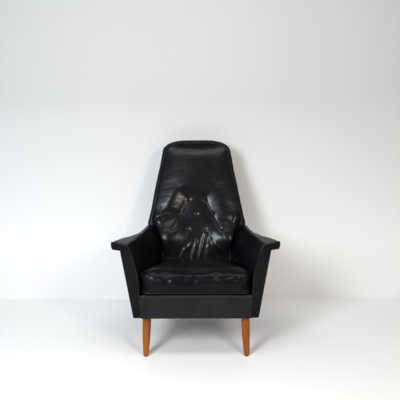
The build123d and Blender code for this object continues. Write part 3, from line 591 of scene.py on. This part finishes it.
def outline_of(node, facing, inset, out):
    """The rim of a solid's face that looks a given way, as a closed list of points."""
    work = merged(node)
    work.normal_update()
    looks = Vector(facing).normalized()
    chosen = {face for face in work.faces if face.normal.dot(looks) > FACES_THAT_WAY}
    rim = {}
    for edge in work.edges:
        if sum(face in chosen for face in edge.link_faces) == 1:
            for here, there in (edge.verts, reversed(edge.verts)):
                rim.setdefault(here, []).append(there)
    start = min(rim, key=lambda corner: (corner.co.z, corner.co.x))
    path, before, here = [start], None, start
    while True:
        ways = [other for other in rim[here] if other is not before]
        before, here = here, ways[0]
        if here is start:
            break
        path.append(here)
    path = [corner.co.copy() for corner in path]
    work.free()
    middle = sum(path, Vector()) / len(path)
    return [place + (middle - place).normalized() * inset + looks * out for place in path]


def sew(name, paths, tree, finish, slot, body=CHAIR, closed=False, **sizes):
    """A row of piping, stitches or beads along some paths, riding on a body."""
    row = path_piece(name, paths, closed)
    growth = row.modifiers.new(tree.name, "NODES")
    growth.node_group = tree
    sizes["Finish"] = finish
    for item in tree.interface.items_tree:
        if item.name in sizes:
            growth[item.identifier] = sizes[item.name]
    harden(row)
    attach(row, body)
    print(name, len(row.data.polygons), "faces")
    return row


def welt(name, paths, radius, slot="black_leather", body=CHAIR):
    """Closed rings of piping."""
    sew(name, paths, piping_tree, welt_hide, slot, body, closed=True, Radius=radius)


# %% [markdown]
# ## Arms
# Each arm is one hide from the seat over the crest to the rolled edge, so its inner
# pad and its armrest are made as one soft piece. The outer panel and the flat front
# panel with the wing are sewn on, so they stay pieces of their own.

# %% Arm upholstery
for number, side in enumerate(("left", "right")):
    pads = f"armrest_pad_{side}", f"arm_inner_pad_{side}"
    arm = soft_copy(f"arm_hide_{side}", pads)
    crumple(arm, 0.0022, (9, 5, 9), 1 + number)
    finish_soft(arm, worn_hide, 0.6, *pads)
    outside = soft_copy(f"arm_side_{side}", [f"arm_outer_panel_{side}"])
    crumple(outside, 0.0016, (6, 6, 6), 3 + number)
    finish_soft(outside, worn_hide, 0.3, f"arm_outer_panel_{side}")
    panel = f"arm_front_panel_{side}"
    front = soft_copy(f"arm_front_{side}", [panel], voxel=0.003, rounds=6, grow=0.0008)
    crumple(front, 0.0012, (14, 14, 8), 5 + number)
    finish_soft(front, worn_hide, 0.3, panel)
    welt(f"arm_welt_{side}", [outline_of(panel, (0, -1, 0), inset=0.0012, out=-0.0012)], 0.0021)

# %% [markdown]
# ## Apron
# A flat board covered in a duller, greyer hide. It gets the same soft edges.

# %% Apron
STITCHES, STITCH_DEPTH = ((262, 206), (264, 294)), -0.6
apron = soft_copy("apron_hide_panel", ["front_apron"], voxel=0.0035, rounds=4, grow=0.001)
crumple(apron, 0.0009, (5, 5, 14), 7)
finish_soft(apron, apron_hide, 0.25, "front_apron", slot="apron_leather")
rim = outline_of("front_apron", (0, -1, 0), inset=0.0, out=-0.002)
welt("apron_welt", [rim], 0.0018, "apron_leather")
seams = [
    [at(side * half, STITCH_DEPTH, height) for half, height in STITCHES] for side in (-1, 1)
]
sew("apron_stitches", seams, stitch_tree, stuff["twine_black"], "twine")

# %% [markdown]
# ## Seat cushion
# A boxed foam cushion in a loose cover. Its core is remeshed and blown up as cloth with
# a little pressure, which crowns the faces and pulls the sides in between the corners.
# It is smoothed, rumpled most along the front edge, and kept clear of arms and deck.

# %% Cushion
CLOTH_QUALITY, EVEN_ROUNDS = 4, 14
# Rumples: their share everywhere, and middle and reach of the front edge in millimetres
RUMPLED, EDGE_DEPTH, EDGE_LEVEL = 0.35, (15, 60), (95, 40)
DECK_GAP, ARM_GAP, WIDENED = 1.6, 3.2, 1.022


def seat_level(place):
    """Height above the sloping seat plane, in millimetres, of a point in millimetres."""
    depth = place[1] + CHAIR_DEPTH / 2
    return (place[2] - SEAT_FRONT + depth * math.tan(SEAT_SLOPE)) * math.cos(SEAT_SLOPE)


def evened(work):
    for _ in range(EVEN_ROUNDS):
        bmesh.ops.smooth_vert(work, verts=work.verts, factor=0.5,
                              use_axis_x=True, use_axis_y=True, use_axis_z=True)


def swell(piece, pressure, frames, most):
    """Blows a closed mesh up as cloth, moves no point further than a limit and evens it."""
    start = points_of(piece)
    cloth = piece.modifiers.new("cloth", "CLOTH")
    cloth.settings.use_pressure = True
    cloth.settings.uniform_pressure_force = pressure
    cloth.settings.effector_weights.gravity = 0
    cloth.settings.quality = CLOTH_QUALITY
    cloth.point_cache.frame_start = 1
    cloth.point_cache.frame_end = frames
    scene.frame_start, scene.frame_end = 1, frames
    for step in range(1, frames + 1):
        scene.frame_set(step)
    ended = piece.evaluated_get(bpy.context.evaluated_depsgraph_get()).to_mesh()
    way = rows_of(ended.vertices, "co") - start
    length = np.linalg.norm(way, axis=1)
    way *= (np.minimum(length, most) / np.maximum(length, 1e-9))[:, None]
    piece.modifiers.clear()
    scene.frame_set(1)
    move_points(piece, start + way)
    rework(piece, evened)
    print("cloth moved", round(float(length.max()) * 1000, 1), "mm at most")


def near_front_edge(place):
    depth, level = place[1] + CHAIR_DEPTH / 2, seat_level(place)
    (middle, reach), (top, tall) = EDGE_DEPTH, EDGE_LEVEL
    return RUMPLED + faded(depth - middle, reach) * faded(level - top, tall)


cushion = soft_copy("seat_cushion_hide", ["seat_cushion_core"], voxel=0.005, rounds=5, grow=0.004)
swell(cushion, 4.0, 20, 0.008)
crumple(cushion, 0.0036, (11, 8, 16), 8, near_front_edge)
places = points_of(cushion) * 1000
for place in places:
    sunk = DECK_GAP - seat_level(place)
    if sunk > 0:
        place[2] += sunk
    clear = inner_half(place[1] + CHAIR_DEPTH / 2, place[2]) - ARM_GAP
    place[0] = max(min(place[0] * WIDENED, clear), -clear)
move_points(cushion, places / 1000)
finish_soft(cushion, worn_hide, 0.75, "seat_cushion_cover", "seat_cushion_core", body=CUSHION)

# %% Seams of the cushion
WELT_LEVELS, GIRTH_STEPS = (13, 97), 180
# From the seat's front to the middle, how far out the rays start, and the welt's lift
GIRTH_MIDDLE, GIRTH_REACH, WELT_LIFT = 0.24, 0.6, 0.0006


def girth(piece, level):
    """Points on a piece all round it, a level above the sloping seat in millimetres."""
    surface = BVHTree.FromObject(piece, bpy.context.evaluated_depsgraph_get())
    along = Vector((0, math.cos(SEAT_SLOPE), -math.sin(SEAT_SLOPE)))
    up = Vector((0, math.sin(SEAT_SLOPE), math.cos(SEAT_SLOPE)))
    centre = at(0, 0, SEAT_FRONT) + along * GIRTH_MIDDLE + up * level / 1000
    points = []
    for step in range(GIRTH_STEPS):
        turn = math.radians(360 * step / GIRTH_STEPS)
        way = Vector((math.cos(turn), 0, 0)) + along * math.sin(turn)
        hit = surface.ray_cast(centre + way * GIRTH_REACH, -way)[0]
        if hit is not None:
            points.append(hit + way * WELT_LIFT)
    return points


welt("cushion_welts", [girth(cushion, level) for level in WELT_LEVELS], 0.0019, body=CUSHION)

# %% [markdown]
# ## Tufted back
# The front of the back is one crowned sheet of hide. Nine buttons hold down a field of
# it. Creases run along the field's slanting edges and out to the border, pleats of slack
# hide fan out below it, and a lobe puffs up on each side. A rule gives the depth at
# every point, so the form is made as a grid.

# %% Rule of the back's surface
BORDER, PAD_GAP, PAD_ARM_GAP = 24.0, 0.3, 1.2
BORDER_OPENS = 45.0  # how far above the arms the border has its full width
# The bulge over the seam's plane, where it starts, and the roll at the top
CROWN, CROWN_FROM, ROLL_FROM, ROLL_TO = 22.0, 372.0, 880.0, 1015.7
# Low down and above the arms: how deep the seam lies, how round the hide turns in to it,
# and how flat the bulge is from side to side
SEAM_DROPS, EDGE_TURNS, FLATNESSES, EDGE_FADE = (10, 0.8), (7, 1.6), (4, 2.4), 14.0
BUTTON_PITCH, LOW_ROW, TOP_ROW = 95.0, 530.0, 695.0
BUTTON_ROWS = ((4, LOW_ROW), (3, (LOW_ROW + TOP_ROW) / 2), (2, TOP_ROW))
BUTTONS = [
    ((index - (count - 1) / 2) * BUTTON_PITCH, height)
    for count, height in BUTTON_ROWS for index in range(count)
]
PIT, PIT_HALF, PIT_POWER = 5.0, 10.0, 1.4
# The field: half widths at its rows, its flare below them, and its edges' directions
LOW_HALF, TOP_HALF, FLARE = 1.5 * BUTTON_PITCH, 0.5 * BUTTON_PITCH, 0.3
FLARE_ASIDE, EDGE_ASIDE, EDGE_UP = 0.87, 0.867, 0.499
# How deep it is held, what is left of that at the foot, and where it grows
PULL, FOOT_PULL, PULL_FROM, PULL_RUN = 25.0, 0.62, 380.0, 280.0
# How far the hide takes to rise again on each side, and how much further low down
RISE_LEFT, RISE_RIGHT, MIDDLE_RUN = 106.0, 150.0, 60.0
SLACK, SLACK_BELOW, SLACK_RUN = 90.0, 622.0, 50.0
# Folds: half width and height of both ends, depth, half width to the left and right
FOLD_ENDS = 0.6
CREASES = [
    (-47.5, 695, -95, 612.5, 3.5, 9, 6), (-95, 612.5, -142.5, 530, 3.5, 16, 6),
    (47.5, 695, 95, 612.5, 2.5, 6, 9), (95, 612.5, 142.5, 530, 1.5, 8, 14),
    (-95, 612.5, -205, 632, 5, 40, 22), (95, 612.5, 205, 600, 2, 22, 40),
]
# Ridges of slack hide between the lowest buttons and the seat, written in the same way
RIDGES = [
    (-79, 604, -138, 520, 2, 6, 6), (-14, 474, -68, 408, 4, 10, 10),
    (2, 485, -26, 360, 4.5, 10, 10), (54, 520, 14, 366, 5, 10, 10),
    (62, 448, 60, 362, 4, 9, 9), (74, 490, 92, 378, 6, 10, 10),
    (98, 470, 146, 400, 5, 12, 12), (-60, 444, -92, 368, 3, 10, 10),
]
# Puffed places: half width, height, rise and the reach sideways and up
PUFFS = [
    (-200, 482, 34, 98, 72), (200, 480, 35, 92, 72),
    (-222, 590, 5, 26, 30), (220, 585, 6, 28, 34),
]


def crown_at(height):
    return CROWN * min(max((height - CROWN_FROM) / (ARM_SEAM - CROWN_FROM), 0), 1)


def above_arms(height):
    """0 between the arms, 1 where the border has its full width."""
    return eased((height - ARM_TOP) / BORDER_OPENS)


def pad_half(depth, height):
    beside_arm = inner_half(depth, min(height, ARM_TOP)) - PAD_ARM_GAP
    if height <= ARM_TOP:
        return beside_arm
    wide = back_half(depth, height) - BORDER - PAD_GAP
    return between(beside_arm, wide, above_arms(height))


def groove(x, z, fold):
    """Depth of one fold at a place: deepest half way along, soft to both sides."""
    x0, z0, x1, z1, depth, left, right = fold
    run_x, run_z = x1 - x0, z1 - z0
    length = math.hypot(run_x, run_z)
    share = ((x - x0) * run_x + (z - z0) * run_z) / length**2
    if not 0 < share < 1:
        return 0.0
    off = ((z - z0) * run_x - (x - x0) * run_z) / length
    wide = left if off > 0 else right
    return depth * faded(off, wide) * math.sin(math.pi * share) ** FOLD_ENDS


def outside_field(x, z):
    """How far a place lies outside the field that the outer buttons hold down."""
    if z < LOW_ROW:
        return max(abs(x) - LOW_HALF - (LOW_ROW - z) * FLARE, 0) * FLARE_ASIDE
    aside, above = abs(x) - TOP_HALF, z - TOP_ROW
    if EDGE_UP * aside > EDGE_ASIDE * above:
        return max(EDGE_ASIDE * aside + EDGE_UP * above, 0)
    return math.hypot(max(aside, 0), above) if above > 0 else 0.0


def pulled_in(x, z):
    """The field lies deeper; outside it the hide rises again, on the right at once."""
    off = outside_field(x, z)
    slack = SLACK * eased((SLACK_BELOW - z) / SLACK_RUN)
    left = 1 - eased(off / (RISE_LEFT + slack))
    right = max(1 - off / (RISE_RIGHT + slack), 0) ** 2
    side = eased((x + MIDDLE_RUN) / (2 * MIDDLE_RUN))
    held = between(FOOT_PULL, 1, eased((z - PULL_FROM) / PULL_RUN))
    return PULL * between(left, right, side) * held


def tuft(x, z):
    """How far the buttons and folds pull the hide in at a place."""
    pits = sum(PIT * math.exp(-((math.hypot(x - bx, z - bz) / PIT_HALF) ** PIT_POWER))
               for bx, bz in BUTTONS)
    creased = sum(groove(x, z, fold) for fold in CREASES)
    ridged = sum(groove(x, z, fold) for fold in RIDGES)
    puffed = sum(rise * math.exp(-((x - px) / wide) ** 2 - ((z - pz) / tall) ** 2)
                 for px, pz, rise, wide, tall in PUFFS)
    return pulled_in(x, z) + pits + (creased - ridged) - puffed


def back_crown(x, z, half):
    """The bulge over the seam's plane: round from side to side, rolling over at the top."""
    across = abs(x) / max(half, NECK_HALF - BORDER)
    past = max(abs(x) - NECK_HALF + CORNER_RUN, 0) / (CORNER_RUN - BORDER)
    top = CORNER_LEVEL + (ROLL_TO - CORNER_LEVEL) * math.sqrt(max(1 - past**2, 0))
    climb = min(max((z - ROLL_FROM) / (top - ROLL_FROM), 0), 1)
    return (1 - across ** between(*FLATNESSES, above_arms(z))) * (1 - climb**4)


def back_surface(x, z, half):
    """Depth of the hide's front at a place, where the pad is that wide."""
    drop, turn = between(*SEAM_DROPS, above_arms(z)), between(*EDGE_TURNS, above_arms(z))
    front = back_front_depth(z) + drop - (crown_at(z) + drop) * back_crown(x, z, half)
    edge = max(turn - (half - abs(x)), 0)
    tufted = tuft(x, z) * eased((half - abs(x)) / EDGE_FADE)
    return front + tufted + turn - math.sqrt(turn**2 - edge**2)


print(len(BUTTONS), "buttons,", len(CREASES) + len(RIDGES), "folds")

# %% The back as a grid
ACROSS, UPWARDS, ROUND_STEPS = 190, 210, 24
PAD_FOOT, SEEN_AT, STILE_GAP = 252.0, 10.0, 4.0
CROWDED = 0.35  # how much closer the columns lie at the sides


def round_corner(turn, inset):
    """Half width and height on the crown's corner, so far inside its outline."""
    half = NECK_HALF - CORNER_RUN + (CORNER_RUN - inset) * math.cos(turn)
    return half, CORNER_LEVEL + (CORNER_RISE - inset) * math.sin(turn)


def back_rows():
    """Height and half width of each row of the grid, from the seat to the crown."""
    rows = []
    for step in range(UPWARDS):
        height = between(PAD_FOOT, CORNER_LEVEL, step / UPWARDS)
        rows.append((height, pad_half(back_front_depth(height) + SEEN_AT, height)))
    for step in range(ROUND_STEPS + 1):
        half, height = round_corner(math.radians(90 * step / ROUND_STEPS), BORDER + PAD_GAP)
        rows.append((height, half))
    return rows


def grid_shell(name, front, rear):
    """A closed mesh from a front and a rear grid of points of the same size."""
    rows, columns = len(front), len(front[0])
    corners = [point for grid in (front, rear) for row in grid for point in row]
    faces = []

    def index(sheet, row, column):
        return (sheet * rows + row) * columns + column

    for row in range(rows - 1):
        for column in range(columns - 1):
            quad = [(row, column), (row, column + 1), (row + 1, column + 1), (row + 1, column)]
            faces.append([index(0, *corner) for corner in quad])
            faces.append([index(1, *corner) for corner in reversed(quad)])
    rim = (
        [(0, column) for column in range(columns)]
        + [(row, columns - 1) for row in range(1, rows)]
        + [(rows - 1, column) for column in range(columns - 2, -1, -1)]
        + [(row, 0) for row in range(rows - 2, 0, -1)]
    )
    for here, there in zip(rim, rim[1:] + rim[:1]):
        faces.append([index(0, *there), index(0, *here), index(1, *here), index(1, *there)])
    return mesh_piece(name, corners, [], faces)


def make_back():
    even = [2 * step / ACROSS - 1 for step in range(ACROSS + 1)]
    shares = [math.sin(math.pi / 2 * place) * CROWDED + place * (1 - CROWDED) for place in even]
    front, rear = [], []
    for height, half in back_rows():
        behind = stile_depth(height) - STILE_GAP
        narrow = min(half, pad_half(behind, height)) if height < CORNER_LEVEL else half
        front.append([
            at(half * share, back_surface(half * share, height, half), height)
            for share in shares
        ])
        rear.append([at(narrow * share, behind, height) for share in shares])
    return grid_shell("back_hide", front, rear)


back = make_back()
crumple(back, 0.0009, (7, 4, 10), 9)
crumple(back, 0.00022, (20, 8, 48), 12)
finish_soft(back, black_hide, 0.65, "back_pad")

# %% Buttons
BUTTON_LIFT, CLEAR_OF_EDGES = 0.8, 240
spots = [at(bx, back_surface(bx, bz, CLEAR_OF_EDGES) - BUTTON_LIFT, bz) for bx, bz in BUTTONS]
upright = (math.pi / 2 - math.atan(BACK_RECLINE), 0.0, 0.0)
buttons = sew("back_button_hides", [[spot] for spot in spots], bead_tree, black_hide,
              "black_leather", Radius=0.0068, Flatness=(1.0, 1.0, 0.55), Tilt=upright)
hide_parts("back_buttons")

# %% [markdown]
# ## Border and rear of the back
# A strip of hide boxes the back in. It starts at the seam beside the pad, rolls over a
# soft edge and runs back to the rear panel. It is made as a ring of the same section
# that is set at each station up one side, over the crown and down the other side.

# %% Stations and section of the border
CLIMB_STEPS, BEND_STEPS, ROLL_STEPS = 90, 20, 10
# The roll's depth and its swell, the swell of the strip's side, and the seam's depth
ROLL_DEPTH, ROLL_SWELL, SIDE_SWELL, SEAM_DROP = 15.0, 2.2, 1.5, SEAM_DROPS[1]


def rim_place(station, inset, depth):
    """A point on the border: so far inside its outline and at that depth."""
    side, height, turn = station
    if turn is None:
        half = back_half(depth, height) - inset
    else:
        half, height = round_corner(turn, inset)
    return at(side * half, depth, height)


def rim_stations():
    """Side, height and no turn up to the corner, then side, no height and the turn."""
    climb = [(1, between(ARM_SEAM, CORNER_LEVEL, step / CLIMB_STEPS), None)
             for step in range(CLIMB_STEPS)]
    bend = [(1, None, math.radians(90 * step / BEND_STEPS)) for step in range(BEND_STEPS + 1)]
    right = climb + bend
    return right + [(-side, height, turn) for side, height, turn in reversed(right)]


def rim_section(station):
    """The border's closed section at a station, from the seam over the roll to the rear."""
    _, level, turn = station
    if turn is not None:
        level = round_corner(turn, 0)[1]
    front, rear = back_front_depth(level), back_rear_depth(level) - 1
    seam = BORDER
    if turn is None:
        seam = back_half(front, level) - pad_half(front, level) - PAD_GAP
    section, lip = [], front + SEAM_DROP
    for step in range(ROLL_STEPS + 1):
        angle = math.radians(90 * step / ROLL_STEPS)
        depth = lip + ROLL_DEPTH * (1 - math.cos(angle)) - ROLL_SWELL * math.sin(2 * angle)
        section.append((seam * (1 - math.sin(angle)), depth))
    start = lip + ROLL_DEPTH
    section += [(-SIDE_SWELL * math.sin(math.pi * share), between(start, rear - 6, share))
                for share in (0.2, 0.4, 0.6, 0.8, 1.0)]
    section += [(1.5, rear - 2), (6, rear), (seam - 4, rear), (seam, rear - 4), (seam, front + 12)]
    return [rim_place(station, inset, depth) for inset, depth in section]


def make_border():
    rings = [rim_section(station) for station in rim_stations()]
    around = len(rings[0])
    faces = [list(range(around)), [len(rings) * around - 1 - index for index in range(around)]]
    for ring in range(len(rings) - 1):
        for index in range(around):
            here, beside = ring * around + index, ring * around + (index + 1) % around
            faces.append([here, here + around, beside + around, beside])
    piece = mesh_piece("back_border_hide", [point for ring in rings for point in ring], [], faces)
    rework(piece, lambda work: bmesh.ops.recalc_face_normals(work, faces=work.faces))
    return piece


# %% Border and rear panel
border = make_border()
crumple(border, 0.0014, (9, 9, 6), 10)
finish_soft(border, border_hide, 0.5, "back_border_left", "back_border_top", "back_border_right")
rear_panel = soft_copy("back_rear_hide", ["back_outer_panel"])
crumple(rear_panel, 0.0020, (5, 5, 4), 11)
finish_soft(rear_panel, black_hide, 0.3, "back_outer_panel")
rim = outline_of("back_outer_panel", (0, 1, -0.21), inset=0.002, out=-0.001)
welt("rear_welt", [rim], 0.0021)

# %% [markdown]
# ## Deck
# Below the loose cushion lies a thin pad in black platform cloth.

# %% Deck
deck = soft_copy("seat_deck_cloth", ["seat_deck"], voxel=0.005, rounds=5)
crumple(deck, 0.0008, (9, 9, 9), 12)
finish_soft(deck, stuff["platform_cloth"], 0.3, "seat_deck", slot="hessian")

# %% [markdown]
# ## Thin cloths
# A flap of the deck's cloth comes down in front of the spring clips to the rail, and a
# black dust cover closes the underside. The cover is cut round the legs, sags a little
# between its edges and is held by a row of small tacks.

# %% Helpers for thin cloths
CLOTH_WALL = 0.0007


def without_loose_points(work):
    loose = [corner for corner in work.verts if not corner.link_faces]
    bmesh.ops.delete(work, geom=loose, context="VERTS")


def cloth_grid(name, columns, rows, place, leave_out=None):
    """A grid of points from a rule of two shares, with a thin wall, without some cells."""
    corners = [
        place(column / columns, row / rows)
        for row in range(rows + 1) for column in range(columns + 1)
    ]
    faces = []
    for row in range(rows):
        for column in range(columns):
            if leave_out is None or not leave_out((column + 0.5) / columns, (row + 0.5) / rows):
                first = row * (columns + 1) + column
                faces.append([first, first + 1, first + columns + 2, first + columns + 1])
    piece = mesh_piece(name, corners, [], faces)
    piece.data.materials.append(stuff["platform_cloth"])
    rework(piece, without_loose_points)
    wall = piece.modifiers.new("wall", "SOLIDIFY")
    wall.thickness = CLOTH_WALL
    wall.offset = 0
    harden(piece)
    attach(piece, CHAIR)
    return piece


# %% Flap in front of the springs
FLAP = ((30, 306.2), (24.4, 304.0), (23.4, 298.0), (22.2, 291.0), (20.5, 288.2), (12.5, 288.0))
FLAP_HALF = 274.0


def flap_place(across, down):
    step = min(int(down * (len(FLAP) - 1)), len(FLAP) - 2)
    share = down * (len(FLAP) - 1) - step
    depth, height = (between(FLAP[step][axis], FLAP[step + 1][axis], share) for axis in (0, 1))
    return at(between(-FLAP_HALF, FLAP_HALF, across), depth, height)


flap = cloth_grid("deck_flap_cloth", 40, 15, flap_place)

# %% Dust cover and its tacks
COVER_HALF, COVER_FRONT, COVER_REAR, COVER_INSET = 256.0, 10.5, 591.5, 12.0
COVER_LEVEL, COVER_SAG, LEG_HOLE = 200.6, 7.0, 24.0
LEG_TOPS = [
    (side * half, depth) for side in (-1, 1) for half, depth in ((240.0, 62.0), (172.0, 538.0))
]


def cover_flat(across, along):
    depth = between(COVER_FRONT, COVER_REAR, along)
    rear_half = outer_half(depth, BODY_BOTTOM) - COVER_INSET
    return between(-1, 1, across) * min(COVER_HALF, rear_half), depth


def cover_place(across, along):
    half, depth = cover_flat(across, along)
    for leg_half, leg_depth in LEG_TOPS:
        off = math.hypot(half - leg_half, depth - leg_depth)
        if 0 < off < LEG_HOLE:
            half, depth = (leg + (here - leg) * LEG_HOLE / off
                           for leg, here in ((leg_half, half), (leg_depth, depth)))
    slack = math.sin(math.pi * across) * math.sin(math.pi * along)
    return at(half, depth, COVER_LEVEL - COVER_SAG * max(slack, 0))


def in_leg_hole(across, along):
    half, depth = cover_flat(across, along)
    return any(math.hypot(half - leg_half, depth - leg_depth) < LEG_HOLE
               for leg_half, leg_depth in LEG_TOPS)


cover = cloth_grid("dust_cover_cloth", 96, 108, cover_place, in_leg_hole)
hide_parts("dust_cover")
edge = [(side, share) for side in (0.012, 0.988) for share in np.linspace(0.02, 0.98, 15)]
edge += [(share, side) for side in (0.01, 0.99) for share in np.linspace(0.06, 0.94, 12)]
TACK_DROP = Vector((0, 0, 0.0008))
sew("dust_cover_tacks", [[cover_place(*place) - TACK_DROP] for place in edge], bead_tree,
    stuff["zinc"], "hardware", Radius=0.0035, Flatness=(1.0, 1.0, 0.4))

# %% [markdown]
# ## Light and ground
# The room is white, with daylight from both sides. Two soft lamps stand left and right
# of the camera, the left one cooler and larger, and a third lies overhead. The world
# adds a dim fill, and looks pale to the camera only. The floor is plain. The wall has
# painted shade that darkens it towards the top. Both are clear from behind, so that
# the chair can be looked at from every side.

# %% Floor and wall
WALL_DEPTH, ROOM_HALF, ROOM_HEIGHT = 0.50, 12, 6
# Heights in metres over which the ground's grey changes; on the wall this change is painted shade
PAINTED_SHADE_FROM, PAINTED_SHADE_TO = 0.35, 1.3


def ground_material(name, low, high):
    """Matt paint, clear from behind, going from a grey at the foot to one at the top; a darker top
    is painted shade.
    """
    material, tree, surface = new_material(name, Roughness=0.9)
    place = tree.nodes.new("ShaderNodeTexCoord").outputs["Object"]
    level = add(tree, "ShaderNodeSeparateXYZ", {"Vector": place}).outputs["Z"]
    tree.links.new(shade(tree, level, PAINTED_SHADE_FROM, PAINTED_SHADE_TO, low, high), surface["Base Color"])
    behind = tree.nodes.new("ShaderNodeNewGeometry").outputs["Backfacing"]
    clear = tree.nodes.new("ShaderNodeBsdfTransparent").outputs[0]
    paint = tree.nodes["Principled BSDF"].outputs[0]
    mix_shaders(tree, behind, paint, clear, "Material Output")
    return material


def plane(name, corners, material):
    piece = mesh_piece(name, corners, [], [[0, 1, 2, 3]])
    piece.data.materials.append(material)


square = ((-1, -1), (1, -1), (1, 1), (-1, 1))
plane("floor", [(ROOM_HALF * x, ROOM_HALF * y, 0) for x, y in square],
      ground_material("floor_white", 0.91, 0.91))
# The wall's grey darkens from 0.89 at the foot to 0.59 at the top: painted shade, not the paint's
# own colour
plane("wall", [(ROOM_HALF * x, WALL_DEPTH, ROOM_HEIGHT * (1 + z) / 2) for x, z in square],
      ground_material("wall_white_painted_shade", 0.89, 0.59))

# %% Lamps
# Place, what it is aimed at, width and height, watts and colour
LAMPS = {
    "window_left": ((-1.15, -2.4, 1.6), (0, 0, 0.6), (0.7, 1.0), 60, (0.90, 0.95, 1.0)),
    "window_right": ((1.15, -2.4, 1.5), (0, 0, 0.6), (0.42, 0.7), 22, (1.0, 0.90, 0.74)),
    "ceiling": ((0, -1.2, 3.0), (0, -1.1, 0.0), (2.4, 0.8), 30, (1, 1, 1)),
}
for name, (place, aim, size, power, colour) in LAMPS.items():
    data = bpy.data.lights.new(name, "AREA")
    data.shape = "RECTANGLE"
    data.size, data.size_y = size
    data.energy = power
    data.color = colour
    light = bpy.data.objects.new(name, data)
    light.location = place
    light.rotation_euler = (Vector(aim) - Vector(place)).to_track_quat("-Z", "Y").to_euler()
    scene.collection.objects.link(light)

# %% World
FILL_COLOUR, FILL, SEEN_COLOUR = (0.93, 0.95, 1.0, 1), 0.17, (0.90, 0.90, 0.90, 1)
world = bpy.data.worlds.new("room")
scene.world = world
world.use_nodes = True
room = world.node_tree
dim = room.nodes["Background"]
dim.inputs["Color"].default_value = FILL_COLOUR
dim.inputs["Strength"].default_value = FILL
pale = add(room, "ShaderNodeBackground", Color=SEEN_COLOUR)
to_camera = room.nodes.new("ShaderNodeLightPath").outputs["Is Camera Ray"]
mix_shaders(room, to_camera, dim.outputs[0], pale.outputs[0], "World Output")
scene.view_settings.view_transform = "Standard"
